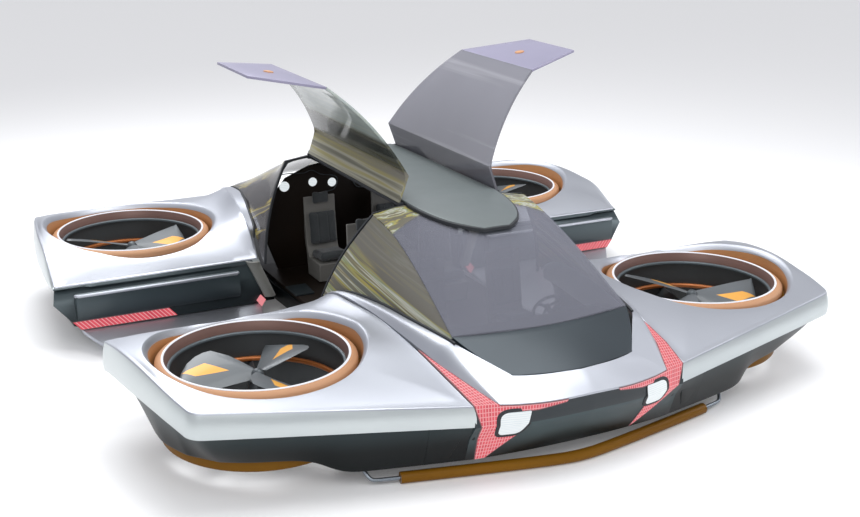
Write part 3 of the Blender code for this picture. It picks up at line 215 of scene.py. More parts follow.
finishes = {  # shader group, its values, the shader's values
    "silver": ("paint", {"Tone": (0.44, 0.46, 0.505), "Shade": (0.41, 0.425, 0.47), "Roughness": 0.44},
               {"Metallic": 0.85, "Coat Weight": 0.10, "Coat Roughness": 0.30}),
    "band": ("paint", {"Tone": (0.52, 0.56, 0.56), "Shade": (0.47, 0.51, 0.52), "Roughness": 0.34},
             {"Metallic": 0.6, "Coat Weight": 0.2, "Coat Roughness": 0.15}),
    # hull, hullLight and noseLowerPaintedLight are darkened towards the bottom by the group's low tone: painted shade
    "hull": ("paint", {"Tone": (0.022, 0.034, 0.037), "Shade": (0.017, 0.027, 0.030), "Roughness": 0.36,
                       "Low Shade": (0.004, 0.006, 0.0065), "Low From": 0.40, "Low To": 0.72},
             {"Metallic": 0.2, "Specular IOR Level": 0.25}),
    "hullLight": ("paint", {"Tone": (0.060, 0.080, 0.088), "Shade": (0.046, 0.062, 0.070), "Roughness": 0.34,
                            "Low Shade": (0.022, 0.030, 0.034), "Low From": 0.38, "Low To": 0.70}, {"Metallic": 0.4}),
    "orange": ("paint", {"Tone": (0.46, 0.245, 0.130), "Shade": (0.40, 0.205, 0.105), "Roughness": 0.55,
                         "Flake Strength": 0.03}, {"Metallic": 0.0, "Specular IOR Level": 0.3}),
    "recess": ("paint", {"Tone": (0.42, 0.20, 0.075), "Shade": (0.32, 0.15, 0.06), "Roughness": 0.42},
               {"Metallic": 0.3}),
    "throat": ("paint", {"Tone": (0.20, 0.115, 0.095), "Shade": (0.15, 0.085, 0.072), "Roughness": 0.4},
               {"Metallic": 0.3}),
    "greyRing": ("paint", {"Tone": (0.10, 0.12, 0.135), "Shade": (0.08, 0.10, 0.11), "Roughness": 0.4},
                 {"Metallic": 0.4}),
    "barrel": ("paint", {"Tone": (0.075, 0.082, 0.086), "Shade": (0.050, 0.050, 0.050), "Roughness": 0.40},
               {"Metallic": 0.4}),
    "copper": ("paint", {"Tone": (0.42, 0.13, 0.03), "Shade": (0.30, 0.09, 0.02), "Roughness": 0.35},
               {"Metallic": 0.4}),
    "stator": ("paint", {"Tone": (0.085, 0.095, 0.105), "Shade": (0.055, 0.065, 0.072), "Roughness": 0.42},
               {"Metallic": 0.45}),
    "roof": ("grain", {"Tone": (0.115, 0.134, 0.136), "Shade": (0.098, 0.114, 0.116), "Grain Scale": 240.0,
                       "Grain Depth": 0.10, "Roughness": 0.46}, {"Metallic": 0.1}),
    "slate": ("paint", {"Tone": (0.028, 0.039, 0.048), "Shade": (0.022, 0.031, 0.039), "Roughness": 0.36},
              {"Metallic": 0.35}),
    # The nose's upper band is painted darker as the bonnet lip's shadow, and its lower part lighter as light from the
    # floor: a shaded and a lit copy of the nose's dark paint
    "noseUpperPaintedShadow": ("paint", {"Tone": (0.022, 0.029, 0.034), "Shade": (0.017, 0.023, 0.027), "Roughness": 0.34},
                  {"Metallic": 0.35}),
    "noseLowerPaintedLight": ("paint", {"Tone": (0.040, 0.066, 0.072), "Shade": (0.032, 0.054, 0.060), "Roughness": 0.34,
                            "Low Shade": (0.010, 0.014, 0.015), "Low From": 0.24, "Low To": 0.50}, {"Metallic": 0.35}),
    "lilac": ("paint", {"Tone": (0.26, 0.245, 0.345), "Shade": (0.215, 0.205, 0.29), "Roughness": 0.34},
              {"Metallic": 0.2, "Coat Weight": 0.1}),
    "skid": ("paint", {"Tone": (0.215, 0.095, 0.005), "Shade": (0.170, 0.072, 0.004), "Roughness": 0.45},
             {"Metallic": 0.0, "Specular IOR Level": 0.15}),
    "steel": ("paint", {"Tone": (0.30, 0.33, 0.37), "Shade": (0.22, 0.25, 0.28), "Roughness": 0.28,
                        "Flake Scale": 900.0}, {"Metallic": 0.85}),
    "trim": ("grain", {"Tone": (0.018, 0.021, 0.026), "Shade": (0.010, 0.012, 0.015), "Grain Depth": 0.25},
             {"Metallic": 0.0}),
    "brown": ("grain", {"Tone": (0.016, 0.010, 0.006), "Shade": (0.008, 0.005, 0.004), "Grain Depth": 0.2,
                        "Roughness": 0.5}, {"Metallic": 0.0, "Specular IOR Level": 0.2}),
    "post": ("paint", {"Tone": (0.22, 0.22, 0.20), "Shade": (0.17, 0.17, 0.16), "Roughness": 0.45}, {"Metallic": 0.3}),
    "cloth": ("cloth", {"Tone": (0.055, 0.062, 0.066), "Shade": (0.022, 0.026, 0.028)},
              {"Metallic": 0.0, "Sheen Weight": 0.25}),
    "shell": ("grain", {"Tone": (0.185, 0.180, 0.165), "Shade": (0.145, 0.140, 0.130), "Grain Scale": 320.0,
                        "Grain Depth": 0.3, "Roughness": 0.48}, {"Metallic": 0.0}),
}
materials = {name: finish(name, *rows) for name, rows in finishes.items()}


def glowMaterial(name, colour, strength, stripes=None):
    # Lit plastic: brightness wanders a little, as a diffuser's does; a lamp's lens has level stripes too
    material, tree, shader = startMaterial(name, {"Roughness": 0.35, "Emission Strength": strength,
                                                  "Base Color": (0.08, 0.08, 0.08, 1)})
    place = addNode(tree, "TexCoord").outputs["Object"]
    cloud = addNode(tree, "TexNoise", {"Vector": place, "Scale": 9.0, "Detail": 1.0})
    dim = tuple(0.88 * part for part in colour)
    tone = addNode(tree, "MixRGB", {"Fac": cloud.outputs["Fac"], "Color1": (*colour, 1), "Color2": (*dim, 1)})
    if stripes:
        wave = addNode(tree, "TexWave", {"Vector": place, "Scale": stripes["scale"], "Distortion": 0.4},
                       wave_type="BANDS", bands_direction="Z")
        ramp = addNode(tree, "MapRange", {"Value": wave.outputs["Fac"], "From Min": 0.55, "From Max": 0.9})
        tone = addNode(tree, "MixRGB", {"Fac": ramp.outputs[0], "Color1": tone.outputs[0],
                                        "Color2": (*stripes["colour"], 1)})
    link(tree, [(tone.outputs[0], shader.inputs["Emission Color"])])
    return material


def latticeMaterial():
    # Pink-red lit strips: upright lit bricks between pale joints, in a thin dark outline. stripPlace holds the place
    # across and along the strip, and how far its nearest edge is
    lattice = {"brick": (0.80, 0.085, 0.120), "brickDark": (0.62, 0.050, 0.085), "joint": (0.90, 0.42, 0.44),
               "brickWidth": 0.030, "brickHeight": 0.046, "jointWidth": 0.0060, "jointDepth": 0.003,
               "edge": (0.10, 0.07, 0.075), "edgeWidth": (0.008, 0.011), "glow": 0.80}
    material, tree, shader = startMaterial("lattice", {"Roughness": 0.4, "Emission Strength": lattice["glow"],
                                                       "Base Color": (0.10, 0.02, 0.02, 1)})
    where = addNode(tree, "Attribute", attribute_name="stripPlace").outputs["Vector"]
    bricks = addNode(tree, "TexBrick", {
        "Vector": where, "Color1": (*lattice["brick"], 1), "Color2": (*lattice["brickDark"], 1),
        "Mortar": (*lattice["joint"], 1), "Scale": 1.0, "Mortar Size": lattice["jointWidth"], "Mortar Smooth": 0.6,
        "Brick Width": lattice["brickWidth"], "Row Height": lattice["brickHeight"]}, offset=0.0)
    nearEdge = addNode(tree, "MapRange", {"Value": addNode(tree, "SeparateXYZ", {0: where}).outputs["Z"],
                                          "From Min": lattice["edgeWidth"][0], "From Max": lattice["edgeWidth"][1]})
    tone = addNode(tree, "MixRGB", {"Fac": nearEdge.outputs[0], "Color1": (*lattice["edge"], 1),
                                    "Color2": bricks.outputs["Color"]})
    bump = addNode(tree, "Bump", {"Strength": 0.4, "Distance": lattice["jointDepth"],
                                  "Height": bricks.outputs["Fac"]}, invert=True)
    link(tree, [(tone.outputs[0], shader.inputs["Emission Color"]), (bump.outputs[0], shader.inputs["Normal"])])
    return material


def glassMaterial(name, colour, alpha, gloss, paintedReflections=None, heights=None):
    # Tinted glass, with long thin bands of other tints painted on as reflections of the surroundings, and heights has
    # tints that change up the open door, over the painted reflections from the third row on
    material, tree, shader = startMaterial(name, {"Roughness": 0.10, "IOR": 1.5, "Specular IOR Level": gloss,
                                                  "Alpha": alpha})
    place = addNode(tree, "TexCoord").outputs["Object"]
    cloud = addNode(tree, "TexNoise", {"Vector": place, "Scale": 0.9, "Detail": 2.0})
    shade = tuple(0.86 * part for part in colour)
    tone = addNode(tree, "MixRGB", {"Fac": cloud.outputs["Fac"], "Color1": (*colour, 1), "Color2": (*shade, 1)})
    # The streaks are painted reflections of the surroundings on the glass
    if paintedReflections:
        turn = addNode(tree, "Mapping", {"Vector": place, "Rotation": paintedReflections["turn"]})
        pulled = addNode(tree, "Mapping", {"Vector": turn.outputs[0], "Scale": paintedReflections["pull"]})
        lines = addNode(tree, "TexNoise", {"Vector": pulled.outputs[0], "Scale": 1.0, "Detail": 3.0})
        stops = [(level, (*tint, cover)) for level, tint, cover in paintedReflections["bands"]]
        bands = addLadder(tree, lines.outputs["Fac"], stops)
        cover = bands["Alpha"]
        if "fade" in paintedReflections:
            low, high = paintedReflections["fade"]
            up = addNode(tree, "SeparateXYZ", {0: turn.outputs[0]}).outputs["Z"]
            fade = addNode(tree, "MapRange", {"Value": up, "From Min": low, "From Max": high, "To Min": 1.0,
                                              "To Max": 0.1})
            cover = addMath(tree, "MULTIPLY", cover, fade.outputs[0])
        tone = addNode(tree, "MixRGB", {"Fac": cover, "Color1": tone.outputs[0], "Color2": bands["Color"]})
    if heights:
        up = addNode(tree, "SeparateXYZ", {0: place}).outputs["Z"]
        low, high = heights[0][0], heights[-1][0]
        share = addNode(tree, "MapRange", {"Value": up, "From Min": low, "From Max": high})
        ladder = addLadder(tree, share.outputs[0], [((z - low) / (high - low), (*tint, 1)) for z, tint in heights])
        clear = addNode(tree, "MapRange", {"Value": up, "From Min": heights[1][0], "From Max": heights[2][0],
                                           "To Min": 0.35, "To Max": 0.85})
        tone = addNode(tree, "MixRGB", {"Fac": clear.outputs[0], "Color1": tone.outputs[0], "Color2": ladder[0]})
    link(tree, [(tone.outputs[0], shader.inputs["Base Color"])])
    return material


materials["ringLight"] = glowMaterial("ringLight", (0.90, 0.92, 1.0), 0.95)
materials["lampLens"] = glowMaterial("lampLens", (0.88, 0.93, 0.95), 0.9, {"scale": 13.0, "colour": (0.68, 0.76, 0.80)})
materials["lattice"] = latticeMaterial()
materials["lozengeLight"] = glowMaterial("lozengeLight", (0.86, 0.24, 0.27), 0.9)
quarterReflectionBands = [(0.0, (0.13, 0.12, 0.10), 0.2), (0.42, (0.15, 0.14, 0.11), 0.6), (0.47, (0.42, 0.36, 0.11), 1.0),
                (0.50, (0.23, 0.27, 0.15), 1.0), (0.54, (0.50, 0.51, 0.45), 1.0), (0.575, (0.26, 0.23, 0.13), 1.0),
                (0.64, (0.15, 0.16, 0.14), 0.7)]
glasses = {  # painted reflection streaks: turn and pull of the pattern; bands with noise level, tint and cover; heights they fade over
    # The screen's reflection is turned off and its tint made lighter to make up for it: part glass tint, part painted
    # sheen
    "screenGlass": {"colour": (0.205, 0.210, 0.250), "alpha": 0.54, "gloss": 0.0},
    "doorGlass": {
        "colour": (0.21, 0.21, 0.24), "alpha": 0.80, "gloss": 0.0,
        "paintedReflections": {"turn": (0.0, 0.0, 0.0), "pull": (1.5, 0.15, 9.0), "bands": [
            (0.0, (0.2, 0.2, 0.2), 0.0), (0.56, (0.3, 0.3, 0.32), 0.0), (0.66, (0.38, 0.38, 0.41), 0.35),
            (0.72, (0.28, 0.28, 0.31), 0.1)]}},
    "warmDoorGlass": {
        "colour": (0.17, 0.165, 0.13), "alpha": 0.90, "gloss": 0.04,
        "paintedReflections": {"turn": (0.0, 0.0, 0.0), "pull": (6.0, 0.12, 6.0), "bands": [
            (0.0, (0.02, 0.022, 0.02), 1.0), (0.42, (0.05, 0.05, 0.042), 1.0), (0.48, (0.17, 0.165, 0.13), 1.0),
            (0.53, (0.42, 0.41, 0.33), 1.0), (0.57, (0.36, 0.32, 0.12), 1.0), (0.66, (0.21, 0.20, 0.17), 1.0)]},
        "heights": [(2.20, (0.26, 0.25, 0.20)), (2.50, (0.20, 0.19, 0.15)), (2.56, (0.035, 0.04, 0.035)),
                    (2.86, (0.045, 0.05, 0.045)), (2.93, (0.30, 0.35, 0.33)), (3.5, (0.42, 0.47, 0.46))]},
    "sideGlass": {
        "colour": (0.185, 0.178, 0.160), "alpha": 0.80, "gloss": 0.06,
        "paintedReflections": {"turn": (-0.16, 0.0, 0.0), "pull": (1.2, 0.26, 12.0), "bands": quarterReflectionBands, "fade": (1.78, 1.92)}},
    "cornerGlass": {
        "colour": (0.20, 0.19, 0.15), "alpha": 0.85, "gloss": 0.06,
        "paintedReflections": {"turn": (1.1, 0.0, 0.0), "pull": (3.0, 0.5, 9.0), "bands": quarterReflectionBands}},
    "rearGlass": {
        "colour": (0.045, 0.042, 0.045), "alpha": 0.93, "gloss": 0.3,
        "paintedReflections": {"turn": (0.5, 0.0, 0.0), "pull": (3.0, 0.35, 4.0), "bands": [
            (0.0, (0.04, 0.04, 0.045), 1.0), (0.54, (0.05, 0.045, 0.045), 1.0), (0.57, (0.34, 0.27, 0.07), 1.0),
            (0.59, (0.28, 0.26, 0.16), 1.0), (0.62, (0.10, 0.09, 0.08), 1.0), (0.75, (0.14, 0.13, 0.14), 1.0)]}},
}
for name, values in glasses.items():
    materials[name] = glassMaterial(name, **values)
print("materials made:", len(materials))


# Mesh helpers; points are given from ringMiddle

def newObject(name, data):
    thing = bpy.data.objects.new(name, data)
    bpy.context.scene.collection.objects.link(thing)
    return thing


def meshPiece(name, points, faces, finishes, faceFinish=None, sharpAngle=38.0, attribute=None):
    # faceFinish has each face's place in finishes, and attribute a label with one vector for each point
    mesh = bpy.data.meshes.new(name)
    mesh.from_pydata([tuple(Vector(p) + ringMiddle) for p in points], [], faces)
    for finishName in finishes:
        mesh.materials.append(materials[finishName])
    if faceFinish:
        mesh.polygons.foreach_set("material_index", faceFinish)
    if attribute:
        label, values = attribute
        layer = mesh.attributes.new(label, "FLOAT_VECTOR", "POINT")
        layer.data.foreach_set("vector", [v for value in values for v in value])
    shape = bmesh.new()
    shape.from_mesh(mesh)
    bmesh.ops.remove_doubles(shape, verts=shape.verts, dist=1e-6)
    bmesh.ops.recalc_face_normals(shape, faces=shape.faces)
    shape.to_mesh(mesh)
    shape.free()
    smoothMesh(mesh, sharpAngle)
    return newObject(name, mesh)


def smoothMesh(mesh, sharpAngle):
    mesh.shade_smooth()
    mesh.set_sharp_from_angle(angle=math.radians(sharpAngle))


def settle(piece, sharpAngle=38.0):
    # Turns what the modifiers make into the piece's plain mesh
    bpy.context.view_layer.update()
    view = bpy.context.evaluated_depsgraph_get()
    made = bpy.data.meshes.new_from_object(piece.evaluated_get(view), preserve_all_data_layers=True, depsgraph=view)
    piece.modifiers.clear()
    piece.data = made
    smoothMesh(made, sharpAngle)
    return piece


def place(piece, body, nodes=(), slotName=None):
    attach(piece, body)
    if nodes:
        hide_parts(*nodes)
    return piece


def bevelled(piece, width, segments=3, angle=40.0):
    bevel = piece.modifiers.new("edge", "BEVEL")
    bevel.width = width
    bevel.segments = segments
    bevel.limit_method = "ANGLE"
    bevel.angle_limit = math.radians(angle)
    bevel.use_clamp_overlap = True
    return piece


def refined(node, finishName, levels=2, bevel=0.004, creaseAngle=34.0, joinAngle=30.0, name=None):
    # A smoother stand-in for a CAD node: its sharp edges are kept as creases, then lightly bevelled
    shape = bmesh.new()
    shape.from_mesh(frame["nodes"][node].data)
    bmesh.ops.remove_doubles(shape, verts=shape.verts, dist=0.00005)
    bmesh.ops.join_triangles(shape, faces=shape.faces, angle_face_threshold=math.radians(joinAngle),
                             angle_shape_threshold=math.radians(120))
    crease = shape.edges.layers.float.new("crease_edge")
    for edge in shape.edges:
        if len(edge.link_faces) != 2 or edge.calc_face_angle(0.0) > math.radians(creaseAngle):
            edge[crease] = 1.0
    mesh = bpy.data.meshes.new(name or node + "_skin")
    shape.to_mesh(mesh)
    shape.free()
    mesh.materials.append(materials[finishName])
    piece = newObject(name or node + "_skin", mesh)
    if levels:
        smooth = piece.modifiers.new("smooth", "SUBSURF")
        smooth.levels = smooth.render_levels = levels
    if bevel:
        bevelled(piece, bevel)
    return settle(piece)


def surfaceTree(node):
    # A CAD node's surface, for rays and nearest points
    mesh = frame["nodes"][node].data
    return BVHTree.FromPolygons([v.co - ringMiddle for v in mesh.vertices], [tuple(f.vertices) for f in mesh.polygons])


def ringFaces(count, rings, closed):
    # Quads between rings of points that have the same count
    faces = []
    for k in range(rings if closed else rings - 1):
        a, b = k * count, (k + 1) % rings * count
        faces += [(a + i, a + (i + 1) % count, b + (i + 1) % count, b + i) for i in range(count)]
    return faces


def turnedRows(profile, facets, centre=(0, 0)):
    # A closed (radius, height) profile turned round an upright axis
    points, faces, rows = [], [], []
    for radius, height in profile:
        if radius == 0:
            rows.append([len(points)] * facets)
            points.append((centre[0], centre[1], height))
            continue
        rows.append([len(points) + i for i in range(facets)])
        for i in range(facets):
            angle = 2 * math.pi * i / facets
            points.append((centre[0] + radius * math.cos(angle), centre[1] + radius * math.sin(angle), height))
    for k, row in enumerate(rows):
        after = rows[(k + 1) % len(rows)]
        for i in range(facets):
            j = (i + 1) % facets
            face = []
            for corner in (row[i], row[j], after[j], after[i]):
                if corner not in face:
                    face.append(corner)
            if len(face) > 2:
                faces.append(tuple(face))
    return points, faces


def toSide(sign, points):
    return [(sign * x, y, z) for x, y, z in points]


# Geometry Nodes trees

def roundAxisTree():
    # Copies of the piece turned round an upright axis through Centre
    tree, given, out = startTree(
        "GeometryNodeTree", "copiesRoundAxis",
        [("Geometry", "Geometry", None), ("Count", "Int", 3), ("Centre", "Vector", (0, 0, 0)), ("Turn", "Float", 0.0),
         ("Finish", "Material", None)],
        [("Geometry", "Geometry")])
    spots = newNode(tree, "GeometryNodePoints", {"Count": given["Count"], "Position": given["Centre"]})
    index = newNode(tree, "GeometryNodeInputIndex").outputs[0]
    whole = newNode(tree, "ShaderNodeMath", {0: 2 * math.pi, 1: given["Count"]}, operation="DIVIDE").outputs[0]
    angle = newNode(tree, "ShaderNodeMath", {0: index, 1: whole, 2: given["Turn"]}, operation="MULTIPLY_ADD")
    turn = newNode(tree, "ShaderNodeCombineXYZ", {"Z": angle.outputs[0]})
    copies = newNode(tree, "GeometryNodeInstanceOnPoints", {
        "Points": spots.outputs[0], "Instance": given["Geometry"], "Rotation": turn.outputs[0]})
    real = newNode(tree, "GeometryNodeRealizeInstances", {0: copies.outputs[0]})
    painted = newNode(tree, "GeometryNodeSetMaterial", {0: real.outputs[0], "Material": given["Finish"]})
    tree.links.new(painted.outputs[0], out["Geometry"])
    return tree


geoTrees = {"roundAxis": roundAxisTree()}


def grown(piece, treeName, values, sharpAngle=38.0):
    # Runs a tree on the piece and keeps the result as its mesh
    tree = geoTrees[treeName]
    modifier = piece.modifiers.new(treeName, "NODES")
    modifier.node_group = tree
    sockets = {item.name: item.identifier for item in tree.interface.items_tree if item.in_out == "INPUT"}
    for label, value in values.items():
        modifier[sockets[label]] = value
    return settle(piece, sharpAngle)


# Pods: silver bodies with a bowl round each fan

pods = {
    "front": {
        "centre": (2.909, 0.0),
        "corners": [  # seen from above: x, y, height of the top edge, corner radius
            (1.300, -1.890, -0.160, 0), (2.513, -1.588, -0.079, 0), (2.706, -1.540, -0.066, 0),
            (4.012, -1.215, 0.022, 0.12), (4.108, -0.800, 0.072, 0.15),
            (4.230, 0.000, 0.141, 0.30), (4.285, 0.600, 0.105, 0.25), (4.300, 1.080, 0.008, 0.06),
            (4.120, 1.195, -0.028, 0.08), (2.350, 1.220, -0.035, 0.35), (1.640, 1.500, -0.080, 0.10),
            (1.600, 1.000, 0.190, 0.20), (1.470, 0.000, 0.200, 0.30), (1.400, -0.809, 0.085, 0.20)],
        "bandFoot": [(-1.10, -0.250), (-0.80, -0.225), (0.00, -0.225), (0.80, -0.283), (1.10, -0.350)],
        "rim": [  # height of the bowl's rim: degrees from the outer side towards the rear, height
            (-180, 0.150), (-160, 0.130), (-147, 0.098), (-136, 0.061), (-125, 0.031), (-113, 0.011),
            (-100, 0.000), (-88, -0.005), (-75, 0.002), (-62, 0.017), (-53, 0.033), (-43, 0.061), (-25, 0.118),
            (-9, 0.150), (10, 0.155), (28, 0.130), (41, 0.100), (53, 0.057), (70, 0.000), (85, -0.018),
            (100, -0.014), (112, 0.008), (123, 0.034), (134, 0.072), (147, 0.100), (161, 0.120), (180, 0.150)],
    },
    "rear": {
        "centre": (2.933, 5.161),
        "corners": [
            (1.560, 3.730, -0.190, 0), (4.318, 3.715, -0.196, 0.04), (4.308, 4.250, 0.084, 0.20),
            (4.245, 5.160, 0.175, 0.40), (4.114, 6.000, 0.101, 0.25), (4.020, 6.450, 0.000, 0.12),
            (3.500, 6.520, -0.010, 0.15), (1.200, 6.540, 0.000, 0.10), (1.230, 6.100, 0.220, 0.20),
            (1.400, 5.100, 0.330, 0.30), (1.530, 4.200, 0.230, 0.30)],
        "bandFoot": [(3.75, -0.22), (4.0, -0.26), (7.0, -0.26)],
        "rim": [
            (-180, 0.130), (-160, 0.120), (-148, 0.095), (-135, 0.056), (-126, 0.008), (-116, -0.024),
            (-108, -0.040), (-94, -0.053), (-81, -0.047), (-69, -0.017), (-56, 0.036), (-42, 0.075),
            (-27, 0.132), (-10, 0.170), (10, 0.185), (28, 0.164), (42, 0.124), (53, 0.092), (67, 0.063),
            (83, 0.057), (97, 0.059), (111, 0.073), (126, 0.084), (142, 0.104), (160, 0.120), (180, 0.130)],
    },
    "rimRadius": 1.20, "recessRadius": 1.119, "recessDepth": -0.140, "seat": -0.20,
    "recessWall": [(0.30, 0.070), (0.45, 0.048), (0.65, 0.024), (0.85, 0.007)],  # share out to the rim, drop
    "cornerSteps": 8, "edgeStep": 0.09, "rimInside": 0.055,
    "topSteps": 8, "topCurve": 1.5,  # from the rim out to the edge
    "fillet": 0.022, "filletFrom": 1.6, "filletTo": 0.9,  # the top edge's rounding, and its ends in fillets
    "roll": [(-0.75, 0.04), (-0.25, 0.30)],  # out and down, in fillets
    "bandOut": 0.002, "bandShares": (0.25, 0.5, 0.75, 0.93), "bulge": 0.035,
    "footOut": 0.020, "footRound": (0.006, 0.004), "skirt": 0.06, "skirtRound": (0.02, 0.01), "seatBelow": 0.02,
    "bandFootFrom": 3.9, "innerFoot": -0.26,  # bandFoot holds further out than this, and innerFoot nearer the middle
    "noseFoot": {"before": -1.10, "inner": (1.3, -0.388), "outer": (4.0, -0.250)},  # x, height
    "darkFront": {"before": 3.80, "from": 1.58, "to": 4.31},  # the rear pods' band is dark there
}


def smoothThrough(table, t):
    # Cubic through (t, value) rows
    if t <= table[0][0]:
        return table[0][1]
    if t >= table[-1][0]:
        return table[-1][1]
    k = max(i for i in range(len(table) - 1) if table[i][0] <= t)
    (t0, v0), (t1, v1) = table[k], table[k + 1]

    def slope(i):
        a, b = table[max(i - 1, 0)], table[min(i + 1, len(table) - 1)]
        return (b[1] - a[1]) / (b[0] - a[0])

    span = t1 - t0
    s = (t - t0) / span
    return ((2 * s ** 3 - 3 * s ** 2 + 1) * v0 + (3 * s ** 2 - 2 * s ** 3) * v1
            + (s ** 3 - 2 * s ** 2 + s) * span * slope(k) + (s ** 3 - s ** 2) * span * slope(k + 1))


def roundedOutline(corners, segments, step):
    # Corners with their radius last, rounded, in steps no longer than step
    path = []
    for k, (x, y, z, radius) in enumerate(corners):
        here = Vector((x, y, z))
        if radius == 0:
            path.append(here)
            continue
        before = Vector(corners[k - 1][:3]) - here
        after = Vector(corners[(k + 1) % len(corners)][:3]) - here
        start = here + before.normalized() * min(radius, before.length * 0.49)
        end = here + after.normalized() * min(radius, after.length * 0.49)
        for i in range(segments + 1):
            s = i / segments
            path.append(start * (1 - s) ** 2 + here * 2 * s * (1 - s) + end * s ** 2)
    dense = []
    for k, p in enumerate(path):
        q = path[(k + 1) % len(path)]
        parts = max(1, math.ceil((q - p).xy.length / step))
        dense += [p.lerp(q, i / parts) for i in range(parts)]
    return dense


def bandFoot(kind, p):
    nose = pods["noseFoot"]
    foot = smoothThrough(pods[kind]["bandFoot"], p.y) if p.x > pods["bandFootFrom"] else pods["innerFoot"]
    if kind == "front" and p.y < nose["before"]:
        (x0, z0), (x1, z1) = nose["inner"], nose["outer"]
        foot = z0 + (min(p.x, x1) - x0) / (x1 - x0) * (z1 - z0)
    return min(foot, pods["seat"] - pods["seatBelow"])


def podSkin(kind):
    shape = pods[kind]
    cx, cy = shape["centre"]
    outline = roundedOutline(shape["corners"], pods["cornerSteps"], pods["edgeStep"])
    angles = [math.atan2(p.y - cy, p.x - cx) for p in outline]
    edge = [math.hypot(p.y - cy, p.x - cx) for p in outline]
    top = [p.z for p in outline]
    low = [bandFoot(kind, p) for p in outline]
    rim = [min(pods["rimRadius"], r - pods["rimInside"]) for r in edge]
    rimHeight = [smoothThrough(shape["rim"], math.degrees(a)) for a in angles]
    rings, finishOf = [], []

    def ring(radii, heights, finishIndex):
        rings.append([(cx + r * math.cos(a), cy + r * math.sin(a), z) for r, a, z in zip(radii, angles, heights)])
        finishOf.append(finishIndex)

    silver, recess, band, dark = range(4)
    recessRadius, fillet, footOut = pods["recessRadius"], pods["fillet"], pods["footOut"]
    bore = [recessRadius] * len(angles)
    ring(bore, [pods["recessDepth"]] * len(angles), recess)
    for t, drop in pods["recessWall"]:
        ring([recessRadius + (a - recessRadius) * t for a in rim], [z - drop for z in rimHeight], silver)
    ring(rim, rimHeight, silver)
    for k in range(1, pods["topSteps"] + 1):
        t = k / pods["topSteps"]
        ring([a + (r - fillet * pods["filletFrom"] - a) * t for a, r in zip(rim, edge)],
             [a + (z - a) * t ** pods["topCurve"] for a, z in zip(rimHeight, top)], silver)
    for out, drop in pods["roll"]:
        ring([r + out * fillet for r in edge], [z - drop * fillet for z in top], silver)
    bandTop = [z - pods["filletTo"] * fillet for z in top]
    ring([r + pods["bandOut"] for r in edge], bandTop, band)
    for t in pods["bandShares"]:
        swell = footOut * t + (pods["bulge"] - footOut / 2) * 4 * t * (1 - t)
        ring([r + swell for r in edge], [b + (h - z) * t for b, z, h in zip(bandTop, top, low)], band)
    inwards, up = pods["footRound"]
    ring([r + footOut - inwards for r in edge], [h + up for h in low], band)
    inner = [r + footOut - pods["skirt"] for r in edge]
    outwards, up = pods["skirtRound"]
    ring([a + outwards for a in inner], low, band)
    ring(inner, [h + up for h in low], band)
    ring(inner, [pods["seat"]] * len(angles), band)
    ring(bore, [pods["seat"]] * len(angles), band)
    points = [p for row in rings for p in row]
    faces = ringFaces(len(angles), len(rings), True)
    darkFront = pods["darkFront"]
    faceFinish = []
    for finishIndex in finishOf:
        for p in outline:
            front = kind == "rear" and p.y < darkFront["before"] and darkFront["from"] < p.x < darkFront["to"]
            faceFinish.append(dark if front and finishIndex == band else finishIndex)
    return points, faces, faceFinish


for kind in ("front", "rear"):
    points, faces, faceFinish = podSkin(kind)
    for side, sign in sides:
        skin = meshPiece("pod_skin_" + kind + "_" + side, toSide(sign, points), faces,
                         ["silver", "recess", "band", "hullLight"], faceFinish, 30)
        place(skin, "root", ["pod_" + kind + "_" + side], "silver")
print("pods made")


# Fans: duct with its lit ring, stator body and vanes, and the rotor with its broad blades

fanShape = {
    "lip": [(1.012, 0.010), (1.030, 0.006), (1.052, -0.004), (1.072, -0.018), (1.086, -0.034), (1.090, -0.082),
            (1.060, -0.082), (1.005, -0.082), (0.990, -0.03), (0.992, 0.006)],
    "ring": (1.000, 0.013, 0.013, 0.008),  # the lit ring's radius, height, half width and half height
    "throat": [(0.987, 0.010), (0.972, -0.030), (0.960, -0.070), (0.955, -0.098), (1.000, -0.098), (1.000, 0.000)],
    "greyRing": [(0.958, -0.096), (0.935, -0.100), (0.928, -0.108), (0.930, -0.130), (1.00, -0.130), (1.00, -0.096)],
    "barrel": [(0.968, -0.125), (0.968, -0.500), (0.968, -0.852), (1.010, -0.852), (1.010, -0.500), (1.02, -0.125)],
    "sleeve": [(1.011, -0.838), (1.018, -0.858), (1.052, -0.860), (1.060, -0.850), (1.060, -0.710), (1.090, -0.690),
               (1.090, -0.201), (1.117, -0.200), (1.117, -0.142), (1.021, -0.100), (1.021, -0.125), (1.011, -0.500)],
    "copper": (0.935, -0.430, 0.030),
    "hub": [(0, -0.300), (0.070, -0.300), (0.078, -0.290), (0.070, -0.215), (0.045, -0.180), (0.0, -0.165)],
    "facets": 96, "bodyFacets": 48, "hubFacets": 36,
    "vanes": 5, "vaneTurn": 0.08, "blades": 3,
    "turns": {  # how far each rotor is turned at rest, in degrees, and which way its blades are pitched
        "front_left": (104.0, 1), "front_right": (50.0, -1), "rear_left": (40.0, -1), "rear_right": (17.0, 1)},
}


def roundBar(radius, height, half, tall=None, segments=12):
    # The section of a ring's bar
    tall = tall or half
    return [(radius + half * math.cos(2 * math.pi * k / segments), height + tall * math.sin(2 * math.pi * k / segments))
            for k in range(segments)]


def makeDuct(name):
    centre = fanAt[name] - ringMiddle
    rows = [("lip", "orange", fanShape["lip"]), ("throat", "throat", fanShape["throat"]),
            ("inner_ring", "greyRing", fanShape["greyRing"]), ("barrel", "barrel", fanShape["barrel"]),
            ("sleeve", "skid", fanShape["sleeve"]),
            ("lit_ring", "ringLight", roundBar(*fanShape["ring"])),
            ("copper_ring", "copper", roundBar(*fanShape["copper"]))]
    for part, finishName, profile in rows:
        points, faces = turnedRows(profile, fanShape["facets"], centre.xy)
        piece = meshPiece("duct_" + part + "_" + name, points, faces, [finishName], sharpAngle=50)
        place(piece, "root", ["duct_" + name] if part == "sleeve" else [], "orange")


